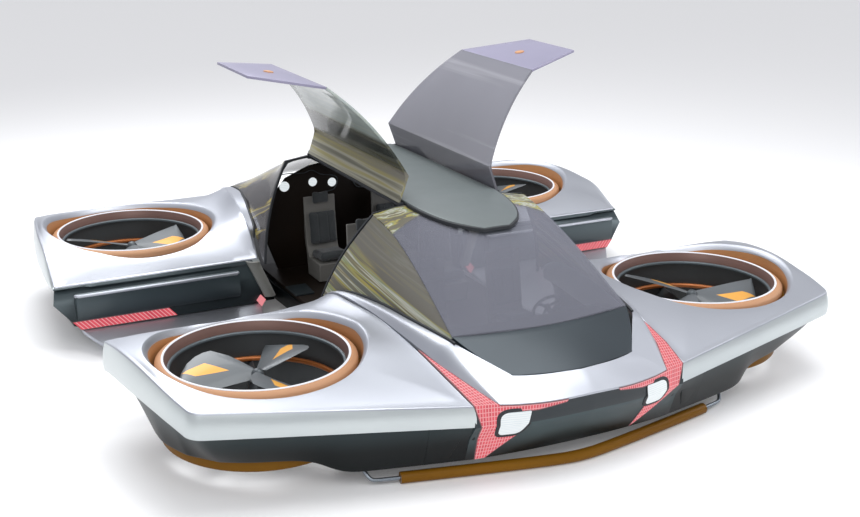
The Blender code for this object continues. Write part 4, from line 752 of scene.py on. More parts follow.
statorShape = {
    "body": [(0, -0.82), (0.05, -0.815), (0.11, -0.765), (0.145, -0.66), (0.155, -0.54), (0.140, -0.44), (0.11, -0.375),
             (0.078, -0.312), (0.0, -0.3005)],
    "vane": {"inner": 0.10, "outer": 0.960, "half": 0.013, "lean": 0.075, "top": -0.45, "foot": -0.68, "bow": 0.03,
             "edge": 0.25, "fullness": 0.6, "columns": 10},
}


def statorVane():
    # One vane along +X: an aerofoil blade that leans and curves
    shape = statorShape["vane"]
    points, faces, count = [], [], shape["columns"]
    for r in (shape["inner"], shape["outer"] * 0.5, shape["outer"]):
        for k in range(count):
            s = k / (count - 1)
            z = shape["top"] + (shape["foot"] - shape["top"]) * s
            side = shape["lean"] * (s - 0.5) + shape["bow"] * math.sin(math.pi * s)
            thick = shape["half"] * (shape["edge"] + math.sin(math.pi * s) ** shape["fullness"])
            points += [(r, side - thick, z), (r, side + thick, z)]
    row = 2 * count
    order = [2 * k for k in range(count)] + [2 * k + 1 for k in reversed(range(count))]
    for level in range(2):
        for i in range(row):
            a, b = order[i], order[(i + 1) % row]
            faces.append((level * row + a, level * row + b, (level + 1) * row + b, (level + 1) * row + a))
    faces += [tuple(order), tuple(2 * row + i for i in reversed(order))]
    return points, faces


# Blade stations: radius, and where the leading and trailing edges lie across it
bladeRows = [(0.030, 0.060, -0.100), (0.120, 0.085, -0.200), (0.260, 0.115, -0.340), (0.440, 0.160, -0.460),
             (0.520, 0.180, -0.450), (0.620, 0.205, -0.400), (0.720, 0.230, -0.300), (0.800, 0.250, -0.150),
             (0.850, 0.262, 0.000), (0.895, 0.270, 0.200)]
bladeShape = {"height": -0.235, "pitch": [(0.0, 28.0), (0.5, 23.0), (0.93, 18.0)], "lowShade": 0.85,
              "thick": 0.010, "fullness": 2.2, "camber": 0.02, "columns": 14, "parts": 3}


def bladeMesh(sense):
    # One blade along +X, with bladePlace values: along, across and which face
    points, places, fine = [], [], []
    columns, parts = bladeShape["columns"], bladeShape["parts"]
    for row, after in zip(bladeRows, bladeRows[1:]):
        fine += [tuple(a + (b - a) * i / parts for a, b in zip(row, after)) for i in range(parts)]
    fine.append(bladeRows[-1])
    for r, lead, trail in fine:
        tilt = math.radians(smoothThrough(bladeShape["pitch"], r))
        for up in (1, -1):
            for c in range(columns + 1):
                s = lead + (trail - lead) * c / columns
                belly = bladeShape["thick"] * (1 - abs(2 * c / columns - 1) ** bladeShape["fullness"])
                camber = bladeShape["camber"] * (1 - (2 * c / columns - 1) ** 2)
                points.append((r, s * math.cos(tilt), bladeShape["height"] + camber + up * belly
                               + s * math.sin(tilt) * bladeShape["lowShade"] * sense))
                places.append((r, s, up))
    wide = columns + 1
    faces = []
    for k in range(len(fine) - 1):
        a, b = k * 2 * wide, (k + 1) * 2 * wide
        for c in range(columns):
            faces.append((a + c, a + c + 1, b + c + 1, b + c))
            faces.append((a + wide + c, b + wide + c, b + wide + c + 1, a + wide + c + 1))
    last = (len(fine) - 1) * 2 * wide
    for c in range(columns):
        faces.append((c, wide + c, wide + c + 1, c + 1))
        faces.append((last + c, last + c + 1, last + wide + c + 1, last + wide + c))
    return points, faces, places


def bladeMaterial():
    # Slate blades with one orange four-cornered patch each, placed by the blade's own along and across
    patch = {"corners": [(0.800, -0.130), (0.660, -0.035), (0.295, -0.070), (0.540, -0.235)],
             "slate": (0.115, 0.128, 0.138), "shade": (0.080, 0.090, 0.098), "orange": (0.70, 0.34, 0.055),
             "softEdge": 0.001, "roughness": 0.45}
    material, tree, shader = startMaterial("blade", {"Metallic": 0.15, "Coat Weight": 0.15})
    place = addNode(tree, "Attribute", attribute_name="bladePlace").outputs["Vector"]
    across = addNode(tree, "SeparateXYZ", {0: place})
    inside = None
    corners = patch["corners"]
    for k, (x0, y0) in enumerate(corners):
        x1, y1 = corners[(k + 1) % len(corners)]
        nx, ny = y0 - y1, x1 - x0
        size = math.hypot(nx, ny)
        side = addMath(tree, "MULTIPLY", across.outputs["X"], nx / size)
        side = addNode(tree, "Math", {0: across.outputs["Y"], 1: ny / size, 2: side}, operation="MULTIPLY_ADD")
        level = (x0 * nx + y0 * ny) / size
        edge = addNode(tree, "MapRange", {"Value": side.outputs[0], "From Min": level - patch["softEdge"],
                                          "From Max": level + patch["softEdge"]})
        inside = edge.outputs[0] if inside is None else addMath(tree, "MINIMUM", inside, edge.outputs[0])
    slate = addGroup(tree, "paint", {"Tone": patch["slate"], "Shade": patch["shade"], "Roughness": patch["roughness"]})
    mixed = addNode(tree, "MixRGB", {"Fac": inside, "Color1": slate.outputs["Color"], "Color2": (*patch["orange"], 1)})
    link(tree, [(mixed.outputs[0], shader.inputs["Base Color"]), (slate.outputs["Normal"], shader.inputs["Normal"]),
                (slate.outputs["Roughness"], shader.inputs["Roughness"])])
    return material


materials["blade"] = bladeMaterial()


def makeStator(name):
    centre = fanAt[name]
    points, faces = turnedRows(statorShape["body"], fanShape["bodyFacets"], (centre - ringMiddle).xy)
    place(meshPiece("stator_body_" + name, points, faces, ["stator"]), "root", ["stator_" + name], "stator")
    points, faces = statorVane()
    vanes = meshPiece("stator_vanes_" + name, [Vector(p) - ringMiddle for p in points], faces, ["stator"])
    grown(vanes, "roundAxis", {"Count": fanShape["vanes"], "Centre": list(centre), "Turn": fanShape["vaneTurn"],
                               "Finish": materials["stator"]})
    place(vanes, "root", slotName="stator")


def makeRotor(name):
    centre, body = fanAt[name], "rotor_" + name + "_body"
    turn, sense = fanShape["turns"][name]
    points, faces, places = bladeMesh(sense)
    blades = meshPiece("rotor_blades_" + name, [Vector(p) - ringMiddle for p in points], faces, ["blade"],
                       attribute=("bladePlace", places))
    grown(blades, "roundAxis", {"Count": fanShape["blades"], "Centre": list(centre), "Turn": math.radians(turn),
                                "Finish": materials["blade"]})
    place(blades, body, ["rotor_" + name], "blade")
    points, faces = turnedRows(fanShape["hub"], fanShape["hubFacets"], (centre - ringMiddle).xy)
    place(meshPiece("rotor_hub_" + name, points, faces, ["stator"]), body, slotName="blade")


for name in fanNames:
    makeDuct(name)
    makeStator(name)
    makeRotor(name)
print("fans made")


# Nose: its front skin, bonnet and shoulders, lit strips and headlamps

def between(a, b, share):
    return tuple(p + (q - p) * share for p, q in zip(a, b))


def through(points, parts):
    # Cubic through the points, with this many parts in each span
    tables = [[(k, p[axis]) for k, p in enumerate(points)] for axis in range(len(points[0]))]
    return [tuple(smoothThrough(table, i / parts) for table in tables) for i in range((len(points) - 1) * parts + 1)]


def sheet(rows, backing):
    # A closed sheet: rows of points, and the same rows moved by backing behind them
    wide, high = len(rows[0]), len(rows)
    points = [tuple(p) for row in rows for p in row]
    under = len(points)
    points += [tuple(a + b for a, b in zip(p, backing)) for p in points]
    faces = []
    for k in range(high - 1):
        for c in range(wide - 1):
            a = k * wide + c
            faces.append((a, a + 1, a + wide + 1, a + wide))
            faces.append((under + a, under + a + wide, under + a + wide + 1, under + a + 1))
    border = list(range(wide)) + [k * wide + wide - 1 for k in range(1, high)]
    border += [(high - 1) * wide + c for c in reversed(range(wide - 1))]
    border += [k * wide for k in reversed(range(1, high - 1))]
    faces += [(a, under + a, under + b, b) for a, b in zip(border, border[1:] + border[:1])]
    return points, faces


def acrossMiddle(row):
    return [(-x, y, z) for x, y, z in reversed(row)][:-1] + row


nose = {
    "rows": [  # from the middle outwards: x, y, z
        [(0, -2.108, -0.190), (0.45, -2.090, -0.192), (0.80, -2.020, -0.190), (1.028, -1.947, -0.182),
         (1.296, -1.885, -0.170)],
        [(0, -2.075, -0.385), (0.45, -2.060, -0.390), (0.78, -2.022, -0.395), (1.010, -1.968, -0.395),
         (1.240, -1.922, -0.395)],
        [(0, -1.960, -0.590), (0.45, -1.945, -0.590), (0.80, -1.890, -0.585), (1.100, -1.840, -0.580),
         (1.250, -1.800, -0.575)],
        [(0, -1.800, -0.846), (0.45, -1.790, -0.846), (0.90, -1.760, -0.846), (1.230, -1.722, -0.846),
         (1.294, -1.705, -0.846)]],
    "shares": [(0, 0.0), (0, 0.5), (1, 0.0), (1, 0.33), (1, 0.67), (2, 0.0), (2, 0.33), (2, 0.67), (2, 1.0)],
    "half": 1.294, "columns": 30, "thick": 0.05, "paintedLightFrom": -0.392,  # the painted-light lower part starts at this height, below the painted shadow
}


def noseAt(x, z, proud=0.0):
    # The point of the nose's front at x and z, moved forwards by proud
    line = []
    for row in nose["rows"]:
        line.append([smoothThrough([(p[0], p[axis]) for p in row], abs(x)) for axis in (1, 2)])
    k = max([i for i in range(len(line) - 1) if line[i][1] >= z] or [0])
    (y0, z0), (y1, z1) = line[k], line[k + 1]
    return (x, y0 + (y1 - y0) * (z - z0) / (z1 - z0) - proud, z)


def noseSkin():
    columns = [nose["half"] * i / nose["columns"] for i in range(nose["columns"] + 1)]
    rows = []
    for k, share in nose["shares"]:
        heights, below = ([smoothThrough([(p[0], p[2]) for p in row], x) for x in columns]
                          for row in nose["rows"][k:k + 2])
        rows.append(acrossMiddle([noseAt(x, a + (b - a) * share) for x, a, b in zip(columns, heights, below)]))
    points, faces = sheet(rows, (0, nose["thick"], 0))
    # Faces below that height get the lit copy, the rest the painted shadow
    lower = [int(sum(points[v][2] for v in face) / len(face) < nose["paintedLightFrom"]) for face in faces]
    return meshPiece("nose_skin", points, faces, ["noseUpperPaintedShadow", "noseLowerPaintedLight"], lower, 30)


bonnet = {
    "rows": [
        [(0, -2.110, -0.170), (0.45, -2.092, -0.178), (0.80, -2.022, -0.176), (1.031, -1.947, -0.172)],
        [(0, -1.982, -0.082), (0.37, -1.952, -0.090), (0.69, -1.870, -0.088), (0.890, -1.823, -0.082)],
        [(0, -1.851, -0.007), (0.38, -1.808, -0.007), (0.60, -1.758, -0.005), (0.745, -1.703, -0.003)]],
    "across": 8, "up": 5,  # parts in each span
    "thick": 0.02, "bevel": 0.003,
}


def bonnetSkin():
    lines = [through(row, bonnet["across"]) for row in bonnet["rows"]]
    columns = [through(points, bonnet["up"]) for points in zip(*lines)]
    points, faces = sheet([acrossMiddle(list(row)) for row in zip(*columns)], (0, 0, -bonnet["thick"]))
    return bevelled(meshPiece("bonnet_skin", points, faces, ["silver"], sharpAngle=30), bonnet["bevel"])


shoulder = {
    "rows": [  # beside the cowl and glass, crease, crest, and beside the strip or pod
        [(0.745, -1.703, -0.003), (1.026, -1.943, -0.170), (1.029, -1.945, -0.171), (1.031, -1.947, -0.172)],
        [(0.839, -1.569, 0.051), (1.050, -1.748, -0.076), (1.084, -1.762, -0.090), (1.104, -1.775, -0.128)],
        [(0.933, -1.435, 0.105), (1.074, -1.552, 0.020), (1.138, -1.567, 0.000), (1.185, -1.575, -0.066)],
        [(1.027, -1.301, 0.158), (1.098, -1.356, 0.115), (1.188, -1.358, 0.088), (1.255, -1.375, -0.015)],
        [(1.116, -1.172, 0.210), (1.123, -1.160, 0.210), (1.232, -1.148, 0.165), (1.310, -1.165, 0.022)],
        [(1.156, -0.980, 0.230), (1.170, -0.970, 0.231), (1.270, -0.960, 0.196), (1.360, -0.940, 0.072)],
        [(1.250, -0.450, 0.249), (1.264, -0.450, 0.252), (1.352, -0.450, 0.240), (1.422, -0.450, 0.140)],
        [(1.352, 0.300, 0.249), (1.380, 0.300, 0.254), (1.445, 0.300, 0.256), (1.502, 0.300, 0.205)],
        [(1.472, 1.000, 0.160), (1.492, 1.000, 0.172), (1.545, 1.000, 0.192), (1.588, 1.000, 0.180)],
        [(1.564, 1.440, -0.112), (1.577, 1.448, -0.108), (1.602, 1.460, -0.095), (1.618, 1.480, -0.095)]],
    "along": 5, "flat": 4, "round": 5,  # parts in each span, up to the crease, and over the crest
    "thick": 0.03,
}


def shoulderSkin(side, sign):
    rows, flat = [], shoulder["flat"]
    for inner, crease, crest, edge in zip(*[through(line, shoulder["along"]) for line in zip(*shoulder["rows"])]):
        rows.append([between(inner, crease, i / flat) for i in range(flat)]
                    + through([crease, crest, edge], shoulder["round"]))
    points, faces = sheet(rows, (0, 0, -shoulder["thick"]))
    return meshPiece("shoulder_skin_" + side, toSide(sign, points), faces, ["silver"], sharpAngle=20)


strip = {
    "top": {  # inner and outer edge beside the bonnet
        "left": [[(1.345, -0.790, 0.092), (1.352, -0.790, 0.092)], [(1.300, -1.150, 0.032), (1.362, -1.150, 0.022)],
                 [(1.208, -1.516, -0.048), (1.345, -1.516, -0.056)], [(1.075, -1.841, -0.146), (1.302, -1.841, -0.147)],
                 [(1.031, -1.949, -0.174), (1.298, -1.889, -0.164)]],
        "right": [[(1.380, -0.835, 0.080), (1.397, -0.835, 0.082)], [(1.312, -1.150, 0.026), (1.367, -1.150, 0.016)],
                  [(1.208, -1.516, -0.050), (1.333, -1.516, -0.064)],
                  [(1.075, -1.841, -0.146), (1.302, -1.841, -0.147)],
                  [(1.031, -1.949, -0.174), (1.298, -1.889, -0.164)]]},
    "leg": {  # inner and outer edge down the nose: x, z
        "left": [[(1.031, -0.174), (1.298, -0.164)], [(1.031, -0.240), (1.278, -0.235)],
                 [(1.000, -0.395), (1.232, -0.395)], [(0.900, -0.500), (1.146, -0.490)],
                 [(0.796, -0.585), (1.060, -0.580)], [(0.694, -0.842), (0.700, -0.842)]],
        "right": [[(1.031, -0.174), (1.298, -0.164)], [(1.031, -0.240), (1.278, -0.235)],
                  [(1.000, -0.395), (1.229, -0.395)], [(0.930, -0.500), (1.222, -0.500)],
                  [(0.800, -0.585), (1.214, -0.585)], [(1.077, -0.843), (1.200, -0.843)]]},
    "branch": [  # upper and lower edge over the lamp: x, z
        [(0.310, -0.184), (0.328, -0.219)], [(0.640, -0.186), (0.637, -0.264)], [(0.850, -0.184), (0.850, -0.270)],
        [(1.040, -0.176), (1.040, -0.270)]],
    "parts": 6, "columns": 8, "proud": {"leg": 0.006, "branch": 0.007}, "thick": 0.012, "topThick": 0.03,
    "legOpen": (0, 1, 2, 3),  # the leg's rows that the branch runs into
    "latticeFrom": 5.0,  # keeps the lattice's places above zero
}


def ribbon(rows, parts, columns, openInner=()):
    # Rows of two edge points made a fine grid, with stripPlace values; openInner rows have no outline on that side
    fine, places, along, start = [], [], 0.0, strip["latticeFrom"]
    for k in range(len(rows) - 1):
        for i in range(parts + (k == len(rows) - 2)):
            a, b = (between(rows[k][e], rows[k + 1][e], i / parts) for e in (0, 1))
            wide = math.dist(a, b)
            if fine:
                along += math.dist(between(a, b, 0.5), between(fine[-1][0], fine[-1][-1], 0.5))
            fine.append([between(a, b, c / columns) for c in range(columns + 1)])
            for share in (c / columns for c in range(columns + 1)):
                inner, outer = 1.0 if k in openInner else wide * share, wide * (1 - share)
                places.append(((share - 0.5) * wide + start, along + start, min(inner, outer)))
    return fine, places


def stripPieces(side, sign):
    pieces, start = [], strip["latticeFrom"]
    for name, rows, openInner in (("top", strip["top"][side], ()), ("leg", strip["leg"][side], strip["legOpen"]),
                                  ("branch", strip["branch"], ())):
        grid, places = ribbon(rows, strip["parts"], strip["columns"], openInner)
        backing = (0, 0, -strip["topThick"])
        if name in strip["proud"]:
            grid = [[noseAt(x, z, strip["proud"][name]) for x, z in row] for row in grid]
            places = [(start + x, start - z, edge) for (x, y, z), (across, along, edge) in zip(sum(grid, []), places)]
            backing = (0, strip["thick"], 0)
        points, faces = sheet([toSide(sign, row) for row in grid], backing)
        pieces.append(meshPiece("light_strip_" + name + "_" + side, points, faces, ["lattice"], sharpAngle=30,
                                attribute=("stripPlace", places + places)))
    return pieces


lamp = {
    "outline": [(0.714, -0.257, 0.02), (0.970, -0.263, 0.05), (1.028, -0.301, 0.04), (1.035, -0.400, 0.05),
                (1.018, -0.541, 0.06), (0.785, -0.546, 0.07), (0.740, -0.402, 0.06)],  # x, z, corner radius
    "cornerSteps": 6, "edgeStep": 0.03, "shares": (0.3, 0.6, 0.85, 0.97, 1.0), "edgeBack": 0.004, "depth": 0.05,
    "surround": {"grow": 0.040, "proud": 0.012, "finish": "trim"},
    "lens": {"grow": 0.0, "proud": 0.018, "finish": "lampLens"},
    "narrow": {"share": 0.15, "inside": 0.05, "above": -0.40},  # the surround's part beside the bonnet's middle
}


def lampPiece(name, sign, kind):
    shape, narrow = lamp[kind], lamp["narrow"]
    corners = [(x, z, 0, r) for x, z, r in lamp["outline"]]
    outline = [(p.x, p.y) for p in roundedOutline(corners, lamp["cornerSteps"], lamp["edgeStep"])]
    cx, cz = (sum(p[axis] for p in outline) / len(outline) for axis in (0, 1))
    edge = []
    for x, z in outline:
        reach = math.hypot(x - cx, z - cz)
        out = shape["grow"] * (narrow["share"] if x < cx - narrow["inside"] and z > narrow["above"] else 1.0)
        edge.append((x + (x - cx) / reach * out, z + (z - cz) / reach * out))
    rings = []
    for t in lamp["shares"]:
        proud = shape["proud"] - (lamp["edgeBack"] if t == 1 else 0)
        rings.append([noseAt(cx + (x - cx) * t, cz + (z - cz) * t, proud) for x, z in edge])
    rings.append([(x, y + lamp["depth"], z) for x, y, z in rings[-1]])
    count, last = len(outline), len(rings) - 1
    faces = ringFaces(count, len(rings), False)
    faces += [tuple(range(count)), tuple(last * count + i for i in range(count))]
    return meshPiece(name, toSide(sign, sum(rings, [])), faces, [shape["finish"]], sharpAngle=35)


hullCorner = {  # the hull's front goes on as far as the strip
    "inner": 1.235, "outer": 1.72, "heights": (-0.380, -0.43, -0.50, -0.60, -0.70, -0.78, -0.846),
    "under": 0.004, "proud": 0.003, "outerFront": -1.62,  # where the hull ends above outer
    "parts": 4, "thick": 0.03,
}


def hullCornerSkin(side, sign):
    surface, parts, outer = surfaceTree("hull_front_" + side), hullCorner["parts"], hullCorner["outer"]
    rows = []
    for z in hullCorner["heights"]:
        start = Vector(noseAt(hullCorner["inner"], z, -hullCorner["under"]))
        hit = surface.ray_cast(Vector((sign * outer, -3.5, z)), Vector((0, 1, 0)))[0]
        end = Vector((outer, hit.y - hullCorner["proud"] if hit else hullCorner["outerFront"], z))
        rows.append(toSide(sign, [start.lerp(end, i / parts) for i in range(parts + 1)]))
    return meshPiece("hull_corner_" + side, *sheet(rows, (0, hullCorner["thick"], 0)), ["hull"], sharpAngle=30)


place(noseSkin(), "root", ["nose"], "slate")
place(bonnetSkin(), "root", ["bonnet"], "silver")
for side, sign in sides:
    place(shoulderSkin(side, sign), "root", ["shoulder_" + side], "silver")
    for k, piece in enumerate(stripPieces(side, sign)):
        place(piece, "root", ["light_strip_" + side] if k == 0 else [], "red_light")
    place(lampPiece("lamp_surround_" + side, sign, "surround"), "root", slotName="trim")
    place(lampPiece("headlamp_" + side, sign, "lens"), "root", ["headlamp_" + side], "lamp")
    place(hullCornerSkin(side, sign), "root", slotName="hull")
print("nose made")


# CAD nodes that keep their shape get a smoother skin

cornerPane = {"from": (1.004, 0.568), "to": (0.756, 0.654)}  # where the screen's tint ends below the roof spine


def tintCorners(skin):
    # The windscreen's upper corners are panes with the side glass's painted reflection streaks
    (xa, ya), (xb, yb) = cornerPane["from"], cornerPane["to"]
    shape = bmesh.new()
    shape.from_mesh(skin.data)
    for side, sign in sides:
        spot = ringMiddle + Vector((sign * xa, ya, 0))
        bmesh.ops.bisect_plane(shape, geom=shape.verts[:] + shape.edges[:] + shape.faces[:], plane_co=spot,
                               plane_no=(sign * (yb - ya), xa - xb, 0))
    for face in shape.faces:
        spot = face.calc_center_median() - ringMiddle
        if spot.y > ya + (xa - abs(spot.x)) * (yb - ya) / (xa - xb):
            face.material_index = 1
    shape.to_mesh(skin.data)
    shape.free()
    skin.data.materials.append(materials["cornerGlass"])


skins = [  # node, or its start where there is one on each side; finish, subdivision levels, bevel, crease angle
    ("hull_front_", "hull", 2, 0.006, 40), ("hull_rear_", "hull", 2, 0.006, 40), ("hull_keel", "hull", 1, 0.010, 25),
    ("rear_face_", "hullLight", 0, 0.008, 20), ("side_deck_", "silver", 2, 0.006, 30), ("cowl", "slate", 2, 0.003, 30),
    ("windscreen", "screenGlass", 2, 0.002, 34), ("rear_glass", "rearGlass", 2, 0.002, 34),
    ("quarter_glass_", "sideGlass", 2, 0.002, 34), ("roof_spine", "roof", 2, 0.006, 30),
    ("door_frame_", "trim", 1, 0.004, 30), ("dashboard", "trim", 1, 0.015, 30), ("cabin_floor", "brown", 0, 0.005, 30),
    ("bulkhead", "brown", 0, 0.010, 30), ("skid_front", "skid", 2, 0.004, 50), ("skid_rear", "skid", 2, 0.004, 50),
]
slotOf = {row["node"]: row["material_slot"] for row in frame["record"]["subparts"]}
rodFrom = 1.945  # the skids' steel rods start this far from the middle
doorSkins = {"bevel": 0.002, "left": "doorGlass", "right": "warmDoorGlass"}
sealGrow = {"x": 1.032, "y": 0.016, "drop": 0.012, "front": 1.0}  # how far the seal shows round the spine's front

for start, finishName, levels, bevel, creaseAngle in skins:
    for node in [start + side for side, sign in sides] if start.endswith("_") else [start]:
        skin = place(refined(node, finishName, levels, bevel, creaseAngle), "root", [node], slotOf[node])
        if node == "windscreen":
            tintCorners(skin)
        if node.startswith("skid_"):
            skin.data.materials.append(materials["steel"])
            for face in skin.data.polygons:
                face.material_index = int(abs(face.center.x) > rodFrom)
for side, sign in sides:
    for node, finishName, levels in (("door_glass_" + side, doorSkins[side], 2), ("door_lower_" + side, "lilac", 2),
                                     ("door_hinge_" + side, "trim", 1)):
        place(refined(node, finishName, levels, doorSkins["bevel"]), "door_" + side, [node], slotOf[node])
place(refined("steering_wheel", "trim", 1, 0.0), "steering", ["steering_wheel"], "trim")
seal = refined("roof_spine", "trim", 2, 0.004, 30, name="roof_seal")
for v in seal.data.vertices:
    if v.co.y - ringMiddle.y < sealGrow["front"]:
        v.co.x *= sealGrow["x"]
        v.co.y -= sealGrow["y"]
    v.co.z -= sealGrow["drop"]
place(seal, "root", slotName="trim")
print("skins made")


# Seats: a hard shell with a plinth, and three stuffed cushions to each

seat = {
    "rows": [("front", 0.12), ("middle", 1.95), ("rear", 3.45)], "middle": 0.52, "floor": -0.60,
    "shell": [(0.02, 0.01), (0.00, 0.27), (0.40, 0.27), (0.47, 0.42), (0.545, 0.90), (0.560, 1.10), (0.590, 1.10),
              (0.580, 0.95), (0.560, 0.50), (0.480, 0.26), (0.44, 0.01)],
    "shellHalf": 0.235, "shellBevel": 0.012,
    "cushions": [  # name; width, height, thickness and channels; middle back and up, and lean
        ("base", (0.46, 0.42, 0.115, 3), (0.195, 0.345, -84.0)), ("back", (0.44, 0.50, 0.090, 3), (0.445, 0.670, 10.0)),
        ("head", (0.27, 0.20, 0.080, 0), (0.525, 1.085, 6.0))],
    "slack": 0.02, "blankBevel": 0.022, "voxel": 0.014, "pressure": 4.0, "frames": 20, "cap": 0.016,
    "channelDepth": 0.010, "channelWidth": 0.009, "channelReach": 0.42, "channelEdge": 0.4,
    "seam": (0.5, 0.6),  # shares of channelDepth that the side is drawn in by
}


def cushionMesh(name, width, height, thick, channels):
    # Stuffed by cloth pressure, then sewn: channels run up the front, and a seam runs round the side
    shape = bmesh.new()
    bmesh.ops.create_cube(shape, size=1.0)
    bmesh.ops.scale(shape, vec=[full - seat["slack"] for full in (width, thick, height)], verts=shape.verts)
    bmesh.ops.bevel(shape, geom=shape.edges[:], offset=seat["blankBevel"], segments=3, affect="EDGES")
    mesh = bpy.data.meshes.new(name)
    shape.to_mesh(mesh)
    shape.free()
    piece = newObject(name, mesh)
    remesh = piece.modifiers.new("voxels", "REMESH")
    remesh.mode = "VOXEL"
    remesh.voxel_size = seat["voxel"]
    settle(piece, 180)
    before = [v.co.copy() for v in piece.data.vertices]
    cloth = piece.modifiers.new("stuffing", "CLOTH")
    cloth.settings.use_pressure = True
    cloth.settings.uniform_pressure_force = seat["pressure"]
    cloth.settings.effector_weights.gravity = 0.0
    for frameNumber in range(1, seat["frames"] + 1):
        bpy.context.scene.frame_set(frameNumber)
    settle(piece, 180)
    bpy.context.scene.frame_set(1)
    for v, start in zip(piece.data.vertices, before):
        move = v.co - start
        if move.length > seat["cap"]:
            v.co = start + move.normalized() * seat["cap"]
    finer = piece.modifiers.new("finer", "SUBSURF")
    finer.levels = finer.render_levels = 1
    settle(piece, 180)
    edge, last = seat["channelEdge"], channels - seat["channelEdge"]
    atSide, inwards = seat["seam"]
    for v in piece.data.vertices:
        dip = math.exp(-(v.co.y / seat["channelWidth"]) ** 2) * atSide
        if channels and v.co.y < 0 and abs(v.co.z) < height * seat["channelReach"]:
            across = (v.co.x / width + 0.5) * channels
            nearest = abs(across - round(across)) * width / channels if edge < across < last else 1.0
            v.co.y += seat["channelDepth"] * math.exp(-(nearest / seat["channelWidth"]) ** 2)
        v.co -= v.co.normalized() * seat["channelDepth"] * dip * inwards
    return piece


def makeSeats(row, front):
    shells = []
    for side, sign in sides:
        for across in (-seat["shellHalf"], seat["shellHalf"]):
            shells.append([(sign * seat["middle"] + across, front + y, seat["floor"] + h) for y, h in seat["shell"]])
        for name, form, (back, up, lean) in seat["cushions"]:
            mesh = cushionOf[name].data.copy()
            spot = ringMiddle + Vector((sign * seat["middle"], front + back, seat["floor"] + up))
            mesh.transform(Matrix.Translation(spot) @ Matrix.Rotation(math.radians(-lean), 4, "X"))
            mesh.materials.clear()
            mesh.materials.append(materials["cloth"])
            cushion = newObject("seat_" + name + "_" + row + "_" + side, mesh)
            place(cushion, "root", slotName="seat")
    faces, count = [], len(seat["shell"])
    for first in (0, 2 * count):
        faces += [tuple(first + i for i in range(count)), tuple(first + count + i for i in range(count))]
        faces += [(first + i, first + (i + 1) % count, first + count + (i + 1) % count, first + count + i)
                  for i in range(count)]
    shell = meshPiece("seat_shells_" + row, sum(shells, []), faces, ["shell"], sharpAngle=50)
    place(bevelled(shell, seat["shellBevel"]), "root", ["seats_" + row], "seat")


cushionOf = {name: cushionMesh("cushion_" + name, *form) for name, form, spot in seat["cushions"]}
for row, front in seat["rows"]:
    makeSeats(row, front)
for piece in cushionOf.values():
    bpy.data.objects.remove(piece)
print("seats made")


# Fittings: sills, seals, lights on the bulkhead, silver bars standing in for painted highlights and lights on the rear
# faces, door posts and buttons

def disc(name, centre, normal, radius, thick, finishName, domed=0.0, count=32):
    turn = Vector(normal).normalized().to_track_quat("Z", "Y").to_matrix()
    rows = [(0.0, thick + domed), (radius * 0.6, thick + domed * 0.7), (radius * 0.95, thick), (radius, thick * 0.6),
            (radius, -thick), (0.0, -thick)]
    points, faces = turnedRows(rows, count)
    return meshPiece(name, [turn @ Vector(p) + Vector(centre) for p in points], faces, [finishName])


def tube(name, path, half, finishName, columns=10):
    # A round bar along a path, closed at both ends
    path = [Vector(p) for p in path]
    points, last = [], len(path) - 1
    for k, p in enumerate(path):
        along = (path[min(k + 1, last)] - path[max(k - 1, 0)]).normalized()
        turn = along.to_track_quat("Z", "Y").to_matrix()
        for i in range(columns):
            angle = 2 * math.pi * i / columns
            points.append(turn @ Vector((half * math.cos(angle), half * math.sin(angle), 0)) + p)
    faces = ringFaces(columns, len(path), False)
    faces += [tuple(range(columns)), tuple(last * columns + i for i in range(columns))]
    return meshPiece(name, points, faces, [finishName], sharpAngle=50)


def plate(name, front, back, finishName):
    # A block between two four-cornered faces
    return meshPiece(name, front + back, ringFaces(4, 2, False) + [(0, 1, 2, 3), (4, 5, 6, 7)], [finishName])


sillPlate = {"corners": [(1.26, 3.49), (0.96, 3.49), (0.99, 3.09), (1.26, 3.09)], "top": -0.575, "foot": -0.60,
             "bevel": 0.005}
rearSill = {
    "rows": [  # beside the glass, beside the pod
        [(1.548, 3.800, -0.150), (1.575, 3.800, -0.160)], [(1.520, 3.980, 0.020), (1.566, 3.960, 0.060)],
        [(1.478, 4.080, 0.150), (1.556, 4.090, 0.165)], [(1.408, 4.450, 0.246), (1.516, 4.450, 0.262)],
        [(1.338, 4.800, 0.318), (1.464, 4.800, 0.296)], [(1.258, 5.160, 0.312), (1.408, 5.160, 0.318)],
        [(1.176, 5.520, 0.288), (1.352, 5.520, 0.286)], [(1.106, 6.100, 0.204), (1.250, 6.100, 0.210)],
        [(1.060, 6.300, 0.100), (1.226, 6.360, 0.090)]],
    "along": 5, "across": 4, "thick": 0.03,
}
seals = {
    "belt": [(1.126, -1.160, 0.219), (1.160, -0.980, 0.240), (1.258, -0.450, 0.262), (1.362, 0.300, 0.262),
             (1.482, 1.000, 0.176), (1.574, 1.440, -0.098)],
    "half": 0.016, "parts": 6,
}


def makeSills(side, sign):
    top, foot = ([(sign * x, y, sillPlate[level]) for x, y in sillPlate["corners"]] for level in ("top", "foot"))
    place(bevelled(plate("sill_plate_" + side, top, foot, "hullLight"), sillPlate["bevel"]), "root", slotName="hull")
    byGlass, byPod = (through(line, rearSill["along"]) for line in zip(*rearSill["rows"]))
    shares = [i / rearSill["across"] for i in range(rearSill["across"] + 1)]
    grid = [toSide(sign, [between(a, b, share) for share in shares]) for a, b in zip(byGlass, byPod)]
    place(meshPiece("rear_sill_" + side, *sheet(grid, (0, 0, -rearSill["thick"])), ["silver"], sharpAngle=25), "root",
          slotName="silver")
    for name, line in (("belt_seal_", seals["belt"]), ("rear_seal_", [row[0] for row in rearSill["rows"][1:]])):
        path = toSide(sign, through(line, seals["parts"]))
        place(tube(name + side, path, seals["half"], "trim"), "root", slotName="trim")


